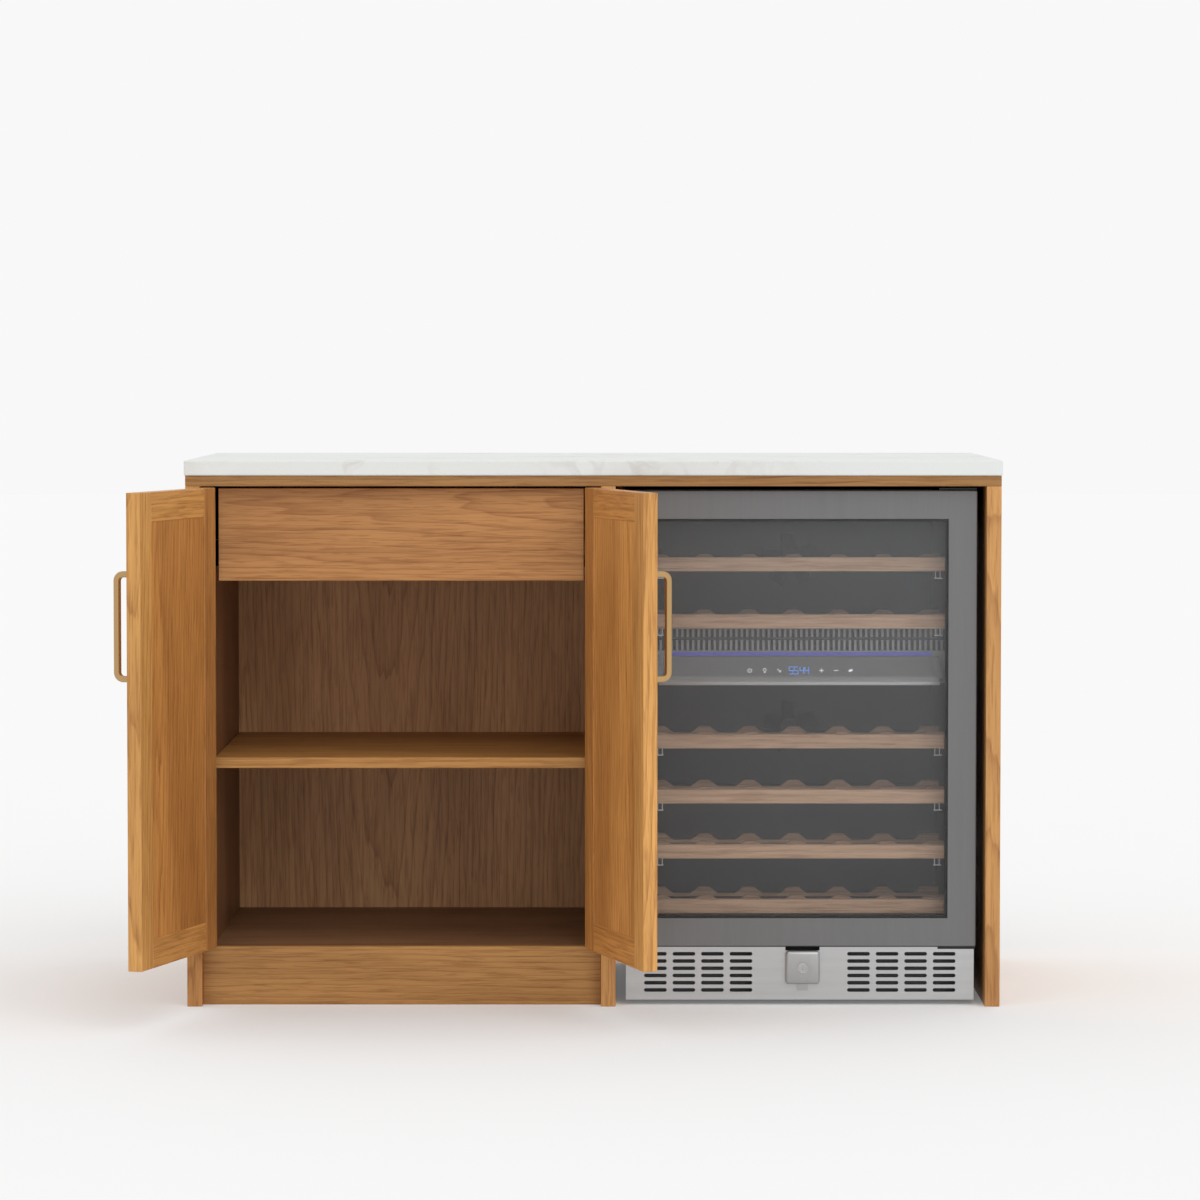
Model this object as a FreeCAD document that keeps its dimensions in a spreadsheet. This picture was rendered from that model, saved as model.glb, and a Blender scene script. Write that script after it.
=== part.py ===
"""Wine bar cabinet: a framed counter with a two-door cupboard and an under-counter wine cooler.

Millimetres, +Z up, +X to the right and +Y into the depth, seen from the front.
The origin lies on the floor under the middle of the partition between the two bays.
"""
import FreeCAD, Part
import math
import os
from types import SimpleNamespace

import Sketcher

VECTOR = FreeCAD.Vector
OVERCUT = 2.0
NODES = []

# Driving sizes in mm, and one angle in degrees
SIZES = {
    # Outer frame and worktop
    "left_bay_width": 673.5,
    "upright_height": 879,
    "panel_thickness": 25,
    "board_thickness": 18,
    "eased_edge": 0.8,
    "slab_thickness": 25,
    "slab_side_overhang": 2,
    "slab_front_overhang": 3,
    "slab_back_overhang": 3,
    "slab_edge": 1.5,
    "kick_height": 99,
    "rear_rail_height": 90,
    "back_panel_thickness": 9,
    "back_panel_inset": 65,
    # Shelf of the left bay
    "shelf_height": 418,
    "shelf_setback": 22,
    "shelf_gap": 0.5,
    "support_inset": 60,
    "support_width": 20,
    "support_height": 22,
    "support_reach": 14,
    "support_sheet": 2.5,
    "pin_fit": 0.05,
    # Shaker doors of the left bay
    "door_thickness": 24,
    "door_stop_gap": 2,
    "door_side_gap": 2.2,
    "door_meeting_gap": 3,
    "door_top_gap": 2,
    "door_bottom_gap": 2.5,
    "door_open_angle": 106.7,
    "stile_width": 50,
    "rail_width": 48,
    "door_panel_thickness": 15,
    "door_panel_recess": 8,
    "groove_depth": 10,
    "panel_float": 1,
    # Bar handles of the doors
    "handle_length": 180,
    "handle_height": 659.5,
    "handle_reach": 31,
    "handle_bar": 10,
    "handle_bend": 16,
    "handle_edge": 1.2,
    # Lift-off hinges of the doors
    "hinge_height": 64,
    "hinge_inset": 110,
    "knuckle_gap": 0.5,
    "barrel_radius": 3,
    "barrel_clearance": 0.2,
    "hinge_pin_radius": 1.5,
    "leaf_thickness": 1.8,
    "leaf_depth": 20,
    # Drawer behind the doors
    "drawer_front_inset": 28.75,
    "drawer_front_height": 156,
    "drawer_top_gap": 4,
    "drawer_side_thickness": 12,
    "drawer_side_height": 110,
    "drawer_side_lift": 16,
    "drawer_depth": 450,
    "drawer_bottom_thickness": 6,
    "drawer_bottom_lift": 10,
    "drawer_groove": 6,
    "drawer_bottom_float": 0.5,
    "slide_width": 24,
    "slide_standoff": 12,
    "slide_height": 46,
    "slide_sheet": 1.2,
    "slide_play": 0.5,
    "slide_lift": 30,
    # Wine cooler: outside
    "cooler_top_gap": 6.5,
    "cooler_side_gap": 16.75,
    "cooler_back_gap": 85,
    "cooler_setback": 20,
    "cooler_door_side_lap": 2.5,
    "cooler_door_bottom": 99.7,
    "cooler_door_gap": 1,
    "cooler_door_thickness": 40,
    "cooler_frame_width": 48,
    "cooler_frame_edge": 1.5,
    "gasket_thickness": 9,
    "gasket_width": 14,
    "gasket_inset": 8,
    "gasket_gap": 0.3,
    "pane_thickness": 5,
    "pane_lap": 6,
    "pane_lip": 3,
    "pane_spacing": 16,
    "spacer_width": 10,
    "pane_gap": 0.5,
    "cooler_shell_width": 590,
    "cooler_shell_depth": 520,
    "cooler_shell_bottom": 100,
    "cooler_wall": 36,
    "cooler_back_wall": 45,
    "machine_bay_depth": 150,
    "machine_bay_top": 290,
    "liner_thickness": 2.5,
    # Wine cooler: base, kick plate and lock
    "foot_radius": 16,
    "foot_inset": 45,
    "base_sheet": 3,
    "kick_plate_side_inset": 0.5,
    "kick_plate_bottom": 9,
    "kick_plate_sheet": 1.5,
    "kick_plate_setback": 2,
    "kick_plate_lap": 10,
    "slot_length": 38.4,
    "slot_height": 5.8,
    "slot_side_inset": 50.1,
    "slot_first_height": 25.4,
    "slot_pitch_across": 48.3,
    "slot_pitch_up": 12.3,
    "lock_width": 58,
    "lock_height": 56.2,
    "lock_bottom": 36.4,
    "lock_offset": 4.5,
    "lock_thickness": 10,
    "lock_corner": 4,
    "lock_tab_width": 18.6,
    "lock_tab_bottom": 25,
    "lock_tab_thickness": 2,
    "lock_cylinder_radius": 9,
    "lock_cylinder_proud": 2,
    "lock_dish_radius": 6.4,
    "lock_dish_depth": 1,
    "keyway_width": 1.8,
    "keyway_height": 8,
    "keyway_depth": 5,
    "lock_fit": 0.06,
    # Wine cooler: hinge brackets and door handle
    "bracket_length": 64,
    "bracket_thickness": 3,
    "bracket_end": 0.5,
    "bracket_front_setback": 4,
    "bracket_on_top": 60,
    "stay_width": 30,
    "stay_depth": 20,
    "pivot_side": 13,
    "pivot_depth": 16,
    "pivot_radius": 4,
    "pivot_length": 13,
    "bar_radius": 8,
    "bar_length": 420,
    "bar_reach": 38,
    "bar_lift": 74.4,
    "bar_post_half": 5,
    "bar_post_inset": 50,
    # Wine cooler: inside
    "rack_front_height": 23.8,
    "rack_front_thickness": 18,
    "rack_front_setback": 9,
    "rack_side_gap": 2,
    "rack_back_gap": 4.5,
    "rack_rail_width": 10,
    "rack_rail_height": 8,
    "rack_slat_height": 20,
    "rack_slat_thickness": 14,
    "rack_slat_inset": 80,
    "rack_end_margin": 20.5,
    "cradle_land": 18,
    "cradle_slope": 15,
    "cradle_depth": 11,
    "ledge_width": 10,
    "ledge_height": 6,
    "ledge_setback": 14,
    "ledge_back_gap": 13,
    "lower_rack_lift": 10.4,
    "lower_zone_spare": 16.1,
    "upper_zone_spare": 4.3,
    "divider_height": 94.3,
    "divider_setback": 26,
    "grille_lift": 55.5,
    "grille_drop": 1.8,
    "grille_depth": 14,
    "grille_side": 7,
    "fin_width": 4,
    "fin_pitch": 9.2,
    "led_lift": 1.2,
    "led_height": 6.4,
    "led_depth": 3,
    "led_side_inset": 30.5,
    "panel_height": 46,
    "panel_lip_height": 8,
    "panel_reach": 21,
    "panel_side_inset": 17.5,
    "panel_flare": 7,
    "fan_radius": 48,
    "fan_hub_radius": 16,
    "fan_hub_length": 18,
    "fan_blade_width": 26,
    "fan_blade_thickness": 2.5,
    "fan_post_half": 12,
    "fan_post_length": 24,
    "fan_shaft_radius": 3,
    "fan_fit": 0.06,
    "fan_gap": 1,
    # Wine cooler: refrigeration set in the machine bay
    "compressor_radius": 60,
    "compressor_height": 190,
    "compressor_waist": 14,
    "compressor_side": 130,
    "condenser_width": 170,
    "condenser_height": 180,
    "condenser_depth": 36,
    "condenser_side": 110,
    "condenser_setback": 12,
    "condenser_frame": 4,
    "condenser_fin": 6,
    "condenser_fin_pitch": 16,
}

# Counts and a share that go with the sizes
SLOT_COLUMNS = 4
SLOT_ROWS = 6
LOWER_RACKS = 4
UPPER_RACKS = 2
UPPER_ZONE_SHARE = 0.2857
BOTTLES_ACROSS = 6
SLATS_PER_RACK = 2
FAN_BLADES = 5
FAN_HUB_SIDES = 6
FOOT_SIDES = 6
FAN_BLADE_TILT = 32


class Dim:
    """A length that carries its value in mm and the expression that it came from."""

    def __init__(self, value, text):
        self.value = value
        self.text = text

    def __add__(self, other):
        other = dim(other)
        return Dim(self.value + other.value, f"({self.text} + {other.text})")

    def __sub__(self, other):
        other = dim(other)
        return Dim(self.value - other.value, f"({self.text} - {other.text})")

    def __mul__(self, factor):
        return Dim(self.value * factor, f"({self.text} * {factor})")

    def __truediv__(self, divisor):
        return Dim(self.value / divisor, f"({self.text} / {divisor})")

    def __neg__(self):
        return Dim(-self.value, f"(0 - {self.text})")

    def __rsub__(self, other):
        return dim(other) - self

    __radd__ = __add__
    __rmul__ = __mul__


def dim(length):
    """Return a length as a Dim."""
    if isinstance(length, Dim):
        return length
    return Dim(float(length), f"({float(length)})")


def fill_sheet(document):
    """Write the driving sizes to a sheet and return them as Dims under their names."""
    sheet = document.addObject("Spreadsheet::Sheet", "Sizes")
    for row, (alias, value) in enumerate(SIZES.items(), start=1):
        sheet.set(f"A{row}", alias)
        sheet.set(f"B{row}", str(value))
        sheet.setAlias(f"B{row}", alias)
    document.recompute()
    dims = {alias: Dim(float(value), f"Sizes.{alias}") for alias, value in SIZES.items()}
    return SimpleNamespace(**dims)


doc = FreeCAD.newDocument("WineBarCabinet")
s = fill_sheet(doc)


# Helpers for bodies, sketches and features

def bind(target, path, length):
    """Tie a property to the sizes."""
    target.setExpression(path, dim(length).text)


def new_body(label, hinge=None):
    """Start a body; one that belongs to a door is placed at its hinge axis and turned open."""
    body = doc.addObject("PartDesign::Body", label)
    body.Label = label
    if hinge is not None:
        bind(body, "Placement.Base.x", hinge.x)
        bind(body, "Placement.Base.y", hinge.y)
        bind(body, "Placement.Rotation.Angle", s.door_open_angle * -hinge.side)
    return body


def node(thing):
    """Keep a finished piece for export."""
    NODES.append(thing)
    return thing


def group(label, members):
    """Collect like pieces as separate solids of one node."""
    compound = doc.addObject("Part::Compound", label)
    compound.Label = label
    compound.Links = members
    return node(compound)


def box(body, kind, name, x, y, z):
    """Add or cut a block; x, y and z are (low, high) pairs."""
    block = body.newObject(f"PartDesign::{kind}Box", name)
    bind(block, "Length", x[1] - dim(x[0]))
    bind(block, "Width", y[1] - dim(y[0]))
    bind(block, "Height", z[1] - dim(z[0]))
    bind(block, "Placement.Base.x", x[0])
    bind(block, "Placement.Base.y", y[0])
    bind(block, "Placement.Base.z", z[0])
    return block


ALONG = {
    "x": FreeCAD.Rotation(VECTOR(0, 1, 0), 90),
    "y": FreeCAD.Rotation(VECTOR(1, 0, 0), -90),
    "z": FreeCAD.Rotation(),
}


def cylinder(body, kind, name, start, axis, radius, length):
    """Add or cut a cylinder from its start point along one axis."""
    rod = body.newObject(f"PartDesign::{kind}Cylinder", name)
    rod.Placement = FreeCAD.Placement(VECTOR(), ALONG[axis])
    bind(rod, "Radius", radius)
    bind(rod, "Height", length)
    for letter, place in zip("xyz", start):
        bind(rod, f"Placement.Base.{letter}", place)
    return rod


def ease(body, feature, size):
    """Break all edges of a feature with a small chamfer."""
    edge = body.newObject("PartDesign::Chamfer", "eased_edges")
    edge.Base = (feature, [""])
    edge.UseAllEdges = True
    bind(edge, "Size", size)
    return edge


def board(label, x, y, z, edge=None, hinge=None):
    """Make a board with eased edges."""
    body = new_body(label, hinge)
    blank = box(body, "Additive", "blank", x, y, z)
    ease(body, blank, edge or s.eased_edge)
    return body


def square_board(label, x, y, z):
    """Make a square-edged board."""
    body = new_body(label)
    box(body, "Additive", "blank", x, y, z)
    return body


def sketch_on(body, role, name, lift=None):
    """Start a sketch on one of the body's own planes, lifted along the plane's normal."""
    plane = next(item for item in body.Origin.OriginFeatures if item.Role == role)
    sketch = body.newObject("Sketcher::SketchObject", name)
    sketch.AttachmentSupport = [(plane, "")]
    sketch.MapMode = "FlatFace"
    if lift is not None:
        bind(sketch, "AttachmentOffset.Base.z", lift)
    return sketch


def tie(sketch, kind, geometry, position, length):
    """Hold a point at a distance from the sketch's origin."""
    rule = Sketcher.Constraint(kind, -1, 1, geometry, position, length.value)
    number = sketch.addConstraint(rule)
    sketch.setExpression(f"Constraints[{number}]", length.text)


def polygon(sketch, points):
    """Draw a closed outline through points (across, up)."""
    points = [(dim(across), dim(up)) for across, up in points]
    corners = [VECTOR(across.value, up.value, 0) for across, up in points]
    first = sketch.GeometryCount
    count = len(points)
    for number in range(count):
        sketch.addGeometry(Part.LineSegment(corners[number], corners[(number + 1) % count]))
    for number, (across, up) in enumerate(points):
        line = first + number
        before = first + (number - 1) % count
        sketch.addConstraint(Sketcher.Constraint("Coincident", before, 2, line, 1))
        tie(sketch, "DistanceX", line, 1, across)
        tie(sketch, "DistanceY", line, 1, up)


def rounded(sketch, corners):
    """Draw a closed outline of level and upright edges; corners are (across, up, radius)."""
    corners = [(dim(across), dim(up), dim(radius)) for across, up, radius in corners]
    count = len(corners)
    places = [VECTOR(across.value, up.value, 0) for across, up, radius in corners]
    radii = [radius.value for across, up, radius in corners]
    ways = [(places[(n + 1) % count] - places[n]).normalize() for n in range(count)]
    first = sketch.GeometryCount
    for n in range(count):
        start = places[n] + ways[n] * radii[n]
        end = places[(n + 1) % count] - ways[n] * radii[(n + 1) % count]
        sketch.addGeometry(Part.LineSegment(start, end))
    for n in range(count):
        level = abs(ways[n].y) < 0.5
        sketch.addConstraint(Sketcher.Constraint("Horizontal" if level else "Vertical", first + n))
        if level:
            tie(sketch, "DistanceY", first + n, 1, corners[n][1])
        else:
            tie(sketch, "DistanceX", first + n, 1, corners[n][0])
    for n in range(count):
        before = first + (n - 1) % count
        if radii[n] == 0:
            sketch.addConstraint(Sketcher.Constraint("Coincident", before, 2, first + n, 1))
            continue
        arrive, leave = ways[(n - 1) % count], ways[n]
        center = places[n] + (leave - arrive) * radii[n]
        left_turn = arrive.cross(leave).z > 0
        spoke = -leave if left_turn else arrive
        begin = FreeCAD.Vector(1, 0, 0).getAngle(spoke)
        if spoke.y < 0:
            begin = -begin
        circle = Part.Circle(center, VECTOR(0, 0, 1), radii[n])
        arc = sketch.addGeometry(Part.ArcOfCircle(circle, begin, begin + math.pi / 2))
        starts, ends = (1, 2) if left_turn else (2, 1)
        sketch.addConstraint(Sketcher.Constraint("Tangent", before, 2, arc, starts))
        sketch.addConstraint(Sketcher.Constraint("Tangent", first + n, 1, arc, ends))
        rule = sketch.addConstraint(Sketcher.Constraint("Radius", arc, radii[n]))
        sketch.setExpression(f"Constraints[{rule}]", corners[n][2].text)


def rectangle(sketch, x, y, radius=0):
    """Draw an upright rectangle, with round corners if asked."""
    rounded(sketch, [(x[0], y[0], radius), (x[1], y[0], radius),
                     (x[1], y[1], radius), (x[0], y[1], radius)])


def extrude(body, kind, sketch, length, name, reverse=False, midplane=False):
    """Pad or pocket a sketch by a length."""
    feature = body.newObject(f"PartDesign::{kind}", name)
    feature.Profile = sketch
    bind(feature, "Length", length)
    feature.Reversed = reverse
    feature.Midplane = midplane
    return feature


def repeat(body, feature, sketch, axis, pitch, count, name):
    """Repeat a feature along one axis of a sketch."""
    pattern = body.newObject("PartDesign::LinearPattern", name)
    pattern.Originals = [feature]
    pattern.Direction = (sketch, [axis])
    pattern.Occurrences = count
    bind(pattern, "Length", pitch * (count - 1))
    body.Tip = pattern
    return pattern


def flip(side, low, high):
    """Return a span as it lies on the left (side 1), or mirrored for the right (side -1)."""
    return (dim(low), dim(high)) if side > 0 else (-dim(high), -dim(low))


# Places that several pieces share

half_panel = s.panel_thickness / 2
cooler_room = s.cooler_setback + s.cooler_door_thickness + s.gasket_thickness
body_depth = cooler_room + s.cooler_shell_depth + s.cooler_back_gap
front = -body_depth / 2
back = body_depth / 2
left_bay_right = -half_panel
left_bay_left = left_bay_right - s.left_bay_width
right_bay_left = half_panel
right_bay_right = right_bay_left + s.cooler_shell_width + s.cooler_side_gap * 2
body_left = left_bay_left - s.panel_thickness
body_right = right_bay_right + s.panel_thickness
sub_top_top = s.upright_height + s.board_thickness

inner_front = front + s.door_thickness + s.door_stop_gap
back_panel_back = back - s.back_panel_inset
back_panel_front = back_panel_back - s.back_panel_thickness
liner_left_face = left_bay_left + s.board_thickness
liner_right_face = left_bay_right - s.board_thickness
shelf_bottom = s.shelf_height - s.board_thickness
shelf_front = inner_front + s.shelf_setback
shelf_back = back_panel_front - s.shelf_gap

axis_gap = s.door_side_gap / 2
axis_proud = s.barrel_radius + s.barrel_clearance
door_width = (s.left_bay_width - s.door_side_gap * 2 - s.door_meeting_gap) / 2
door_far = axis_gap + door_width
door_outside = axis_proud
door_inside = axis_proud + s.door_thickness
door_low = s.kick_height + s.door_bottom_gap
door_high = s.upright_height - s.door_top_gap
hinge_heights = (door_low + s.hinge_inset, door_high - s.hinge_inset)

cooler_middle = (right_bay_left + right_bay_right) / 2
cooler_face = front + s.cooler_setback
cooler_door_rear = cooler_face + s.cooler_door_thickness
cooler_height = s.upright_height - s.cooler_top_gap
cooler_door_width = s.cooler_shell_width + s.cooler_door_side_lap * 2
cooler_door_top = cooler_height - s.cooler_door_gap
shell_front = cooler_door_rear + s.gasket_thickness
shell_back = shell_front + s.cooler_shell_depth
liner_half = s.cooler_shell_width / 2 - s.cooler_wall - s.liner_thickness
liner_back = shell_back - s.cooler_back_wall - s.liner_thickness
bay_front = shell_back - s.machine_bay_depth
kick_plate_face = cooler_face + s.kick_plate_setback
kick_plate_top = s.cooler_door_bottom - s.cooler_door_gap
kick_plate_half = s.cooler_shell_width / 2 - s.kick_plate_side_inset
base_half = kick_plate_half - s.kick_plate_sheet
base_bottom = s.kick_plate_bottom + s.kick_plate_sheet
base_floor = base_bottom + s.base_sheet
pivot_x = cooler_middle + cooler_door_width / 2 - s.pivot_side
pivot_y = cooler_face + s.pivot_depth
divider_front = shell_front + s.divider_setback
liner_floor = s.cooler_shell_bottom + s.cooler_wall + s.liner_thickness
liner_ceiling = cooler_height - s.cooler_wall - s.liner_thickness
step_front = bay_front - s.cooler_wall - s.liner_thickness
step_top = s.machine_bay_top + s.cooler_wall + s.liner_thickness
rack_back = step_front - s.rack_back_gap
upper_zone_height = (liner_ceiling - liner_floor) * UPPER_ZONE_SHARE
upper_rack_bottom = liner_ceiling - upper_zone_height
upper_rack_pitch = (upper_zone_height - s.upper_zone_spare) / UPPER_RACKS
divider_bottom = upper_rack_bottom - s.divider_height
lower_rack_bottom = liner_floor + s.lower_rack_lift
lower_rack_pitch = (divider_bottom - lower_rack_bottom - s.lower_zone_spare) / LOWER_RACKS
panel_top = divider_bottom + s.panel_height
upper_fan_height = (upper_rack_bottom + liner_ceiling) / 2
lower_fan_height = (step_top + divider_bottom) / 2
lock_middle = cooler_middle + s.lock_offset
lock_axis_height = s.lock_bottom + s.lock_height / 2


def cooler_span(half):
    """Return a span across the middle of the cooler."""
    return (cooler_middle - half, cooler_middle + half)


def lock_span(half):
    """Return a span across the middle of the lock."""
    return (lock_middle - half, lock_middle + half)


# Outer frame and worktop

def build_frame():
    depth = (front, back)
    upright = (dim(0), s.upright_height)
    node(board("left_side_panel", (body_left, left_bay_left), depth, upright))
    node(board("middle_partition", (left_bay_right, right_bay_left), depth, upright))
    node(board("right_side_panel", (right_bay_right, body_right), depth, upright))
    node(board("sub_top", (body_left, body_right), depth, (s.upright_height, sub_top_top)))
    across = (body_left - s.slab_side_overhang, body_right + s.slab_side_overhang)
    slab_depth = (front - s.slab_front_overhang, back + s.slab_back_overhang)
    slab_height = (sub_top_top, sub_top_top + s.slab_thickness)
    node(board("countertop_slab", across, slab_depth, slab_height, s.slab_edge))
    rail_depth = (back - s.board_thickness, back)
    rail_height = (s.upright_height - s.rear_rail_height, s.upright_height)
    group("rear_rails", [
        square_board("rear_rail_left", (left_bay_left, left_bay_right), rail_depth, rail_height),
        square_board("rear_rail_right", (right_bay_left, right_bay_right), rail_depth, rail_height),
    ])


# Cupboard box of the left bay

def build_shelf_supports():
    """Make the four folded brackets that the shelf rests on."""
    supports = []
    for wall, side in ((liner_left_face, 1), (liner_right_face, -1)):
        for middle in (shelf_front + s.support_inset, shelf_back - s.support_inset):
            body = new_body("shelf_support")
            y = (middle - s.support_width / 2, middle + s.support_width / 2)
            upright = flip(side, dim(0), s.support_sheet)
            flange = flip(side, dim(0), s.support_reach)
            low = shelf_bottom - s.support_height
            box(body, "Additive", "upright", (wall + upright[0], wall + upright[1]), y, (low, shelf_bottom))
            box(body, "Additive", "flange", (wall + flange[0], wall + flange[1]), y,
                (shelf_bottom - s.support_sheet, shelf_bottom))
            supports.append(body)
    group("shelf_supports", supports)


def build_cupboard_box():
    bay = (left_bay_left, left_bay_right)
    kick_depth = (inner_front, inner_front + s.board_thickness)
    node(board("toe_kick", bay, kick_depth, (dim(0), s.kick_height)))
    bottom_depth = (inner_front + s.board_thickness, back_panel_front)
    bottom_height = (s.kick_height - s.board_thickness, s.kick_height)
    node(square_board("bottom_board", bay, bottom_depth, bottom_height))
    back_height = (s.kick_height - s.board_thickness, s.upright_height)
    node(square_board("back_panel", bay, (back_panel_front, back_panel_back), back_height))
    lining = (inner_front, back_panel_front)
    lining_height = (s.kick_height, s.upright_height)
    node(square_board("left_liner", (left_bay_left, liner_left_face), lining, lining_height))
    node(square_board("right_liner", (liner_right_face, left_bay_right), lining, lining_height))
    shelf_span = (liner_left_face + s.shelf_gap, liner_right_face - s.shelf_gap)
    node(board("adjustable_shelf", shelf_span, (shelf_front, shelf_back), (shelf_bottom, s.shelf_height)))
    build_shelf_supports()


# Shaker doors, built closed about their hinge axis and turned open as a whole

def build_stile(label, hinge, low, high, groove_low, groove_high):
    """Make an upright of a door with the groove that holds the panel."""
    blank_x = flip(hinge.side, low, high)
    body = board(label, blank_x, (door_outside, door_inside), (door_low, door_high), hinge=hinge)
    groove_depth = (door_outside + s.door_panel_recess,
                    door_outside + s.door_panel_recess + s.door_panel_thickness)
    groove_height = (door_low - OVERCUT, door_high + OVERCUT)
    box(body, "Subtractive", "groove", flip(hinge.side, groove_low, groove_high),
        groove_depth, groove_height)
    node(body)


def build_rail(label, hinge, low, high, groove_low, groove_high):
    """Make a level member of a door with its tongues and its groove."""
    between = flip(hinge.side, axis_gap + s.stile_width, door_far - s.stile_width)
    body = board(label, between, (door_outside, door_inside), (low, high), hinge=hinge)
    tongue = s.groove_depth - s.panel_float
    tongue_depth = (door_outside + s.door_panel_recess,
                    door_outside + s.door_panel_recess + s.door_panel_thickness)
    tongue_x = (between[0] - tongue, between[1] + tongue)
    edge = s.eased_edge
    box(body, "Additive", "tongues", tongue_x, tongue_depth, (low + edge, high - edge))
    groove_x = (between[0] - s.groove_depth - OVERCUT, between[1] + s.groove_depth + OVERCUT)
    box(body, "Subtractive", "groove", groove_x, tongue_depth, (groove_low, groove_high))
    node(body)


def build_door_panel(label, hinge):
    """Make the flat panel that floats in the grooves."""
    reach = s.groove_depth - s.panel_float
    x = flip(hinge.side, axis_gap + s.stile_width - reach, door_far - s.stile_width + reach)
    low = door_low + s.rail_width - reach
    high = door_high - s.rail_width + reach
    y = (door_outside + s.door_panel_recess,
         door_outside + s.door_panel_recess + s.door_panel_thickness)
    body = new_body(label, hinge)
    box(body, "Additive", "blank", x, y, (low, high))
    node(body)


def build_door_handle(label, hinge):
    """Make a square bar bent to a D, standing on the outer face of the meeting stile."""
    body = new_body(label, hinge)
    middle = (door_far - s.stile_width / 2) * hinge.side
    low = s.handle_height - s.handle_length / 2
    high = s.handle_height + s.handle_length / 2
    near = door_outside
    far = door_outside - s.handle_reach
    inner = s.handle_bend - s.handle_bar
    sketch = sketch_on(body, "YZ_Plane", "bent_bar", middle)
    rounded(sketch, [
        (near, low, 0),
        (near, low + s.handle_bar, 0),
        (far + s.handle_bar, low + s.handle_bar, inner),
        (far + s.handle_bar, high - s.handle_bar, inner),
        (near, high - s.handle_bar, 0),
        (near, high, 0),
        (far, high, s.handle_bend),
        (far, low, s.handle_bend),
    ])
    bar = extrude(body, "Pad", sketch, s.handle_bar, "bar", midplane=True)
    ease(body, bar, s.handle_edge)
    node(body)


def build_door_leaf(hinge, height):
    """Make the upper half of a lift-off hinge, which a door carries."""
    body = new_body("door_leaf", hinge)
    low = height + s.knuckle_gap / 2
    high = height + s.hinge_height / 2
    x = flip(hinge.side, axis_gap - s.leaf_thickness, axis_gap)
    box(body, "Additive", "leaf", x, (dim(0), axis_proud + s.leaf_depth), (low, high))
    start = (dim(0), dim(0), low)
    cylinder(body, "Additive", "knuckle", start, "z", s.barrel_radius, high - low)
    bore = s.hinge_pin_radius + s.pin_fit
    cylinder(body, "Subtractive", "bore", start, "z", bore, high - low)
    return body


def build_frame_leaf(hinge, height):
    """Make the lower half of a lift-off hinge with its riveted pin, which the frame carries."""
    body = new_body("frame_leaf")
    low = height - s.hinge_height / 2
    high = height - s.knuckle_gap / 2
    leaf_low, leaf_high = flip(hinge.side, -axis_gap, s.leaf_thickness - axis_gap)
    x = (hinge.x + leaf_low, hinge.x + leaf_high)
    box(body, "Additive", "leaf", x, (hinge.y, hinge.y + axis_proud + s.leaf_depth), (low, high))
    start = (hinge.x, hinge.y, low)
    cylinder(body, "Additive", "knuckle", start, "z", s.barrel_radius, high - low)
    cylinder(body, "Additive", "pin", start, "z", s.hinge_pin_radius, s.hinge_height)
    return body


def build_door(name, hinge):
    """Make all pieces of one door."""
    near_stile = axis_gap + s.stile_width
    far_stile = door_far - s.stile_width
    build_stile(f"{name}_hinge_stile", hinge, axis_gap, near_stile,
                near_stile - s.groove_depth, near_stile + OVERCUT)
    build_stile(f"{name}_meeting_stile", hinge, far_stile, door_far,
                far_stile - OVERCUT, far_stile + s.groove_depth)
    top_low = door_high - s.rail_width
    build_rail(f"{name}_top_rail", hinge, top_low, door_high, top_low - OVERCUT, top_low + s.groove_depth)
    bottom_high = door_low + s.rail_width
    build_rail(f"{name}_bottom_rail", hinge, door_low, bottom_high,
               bottom_high - s.groove_depth, bottom_high + OVERCUT)
    build_door_panel(f"{name}_panel", hinge)
    build_door_handle(f"{name}_handle", hinge)
    group(f"{name}_hinge_leaves", [build_door_leaf(hinge, height) for height in hinge_heights])


def build_doors():
    axis_y = front - axis_proud
    left = SimpleNamespace(side=1, x=left_bay_left + axis_gap, y=axis_y)
    right = SimpleNamespace(side=-1, x=left_bay_right - axis_gap, y=axis_y)
    build_door("left_door", left)
    build_door("right_door", right)
    pairs = [(hinge, height) for hinge in (left, right) for height in hinge_heights]
    group("hinge_frame_leaves", [build_frame_leaf(hinge, height) for hinge, height in pairs])


# Drawer and its telescopic slides

drawer_front_left = left_bay_left + s.drawer_front_inset
drawer_front_right = left_bay_right - s.drawer_front_inset
drawer_front_top = s.upright_height - s.drawer_top_gap
drawer_front_low = drawer_front_top - s.drawer_front_height
drawer_box_front = inner_front + s.board_thickness
drawer_box_back = drawer_box_front + s.drawer_depth
drawer_box_left = liner_left_face + s.slide_width
drawer_box_right = liner_right_face - s.slide_width
drawer_side_low = drawer_front_low + s.drawer_side_lift
drawer_side_high = drawer_side_low + s.drawer_side_height
drawer_floor = drawer_side_low + s.drawer_bottom_lift


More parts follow.
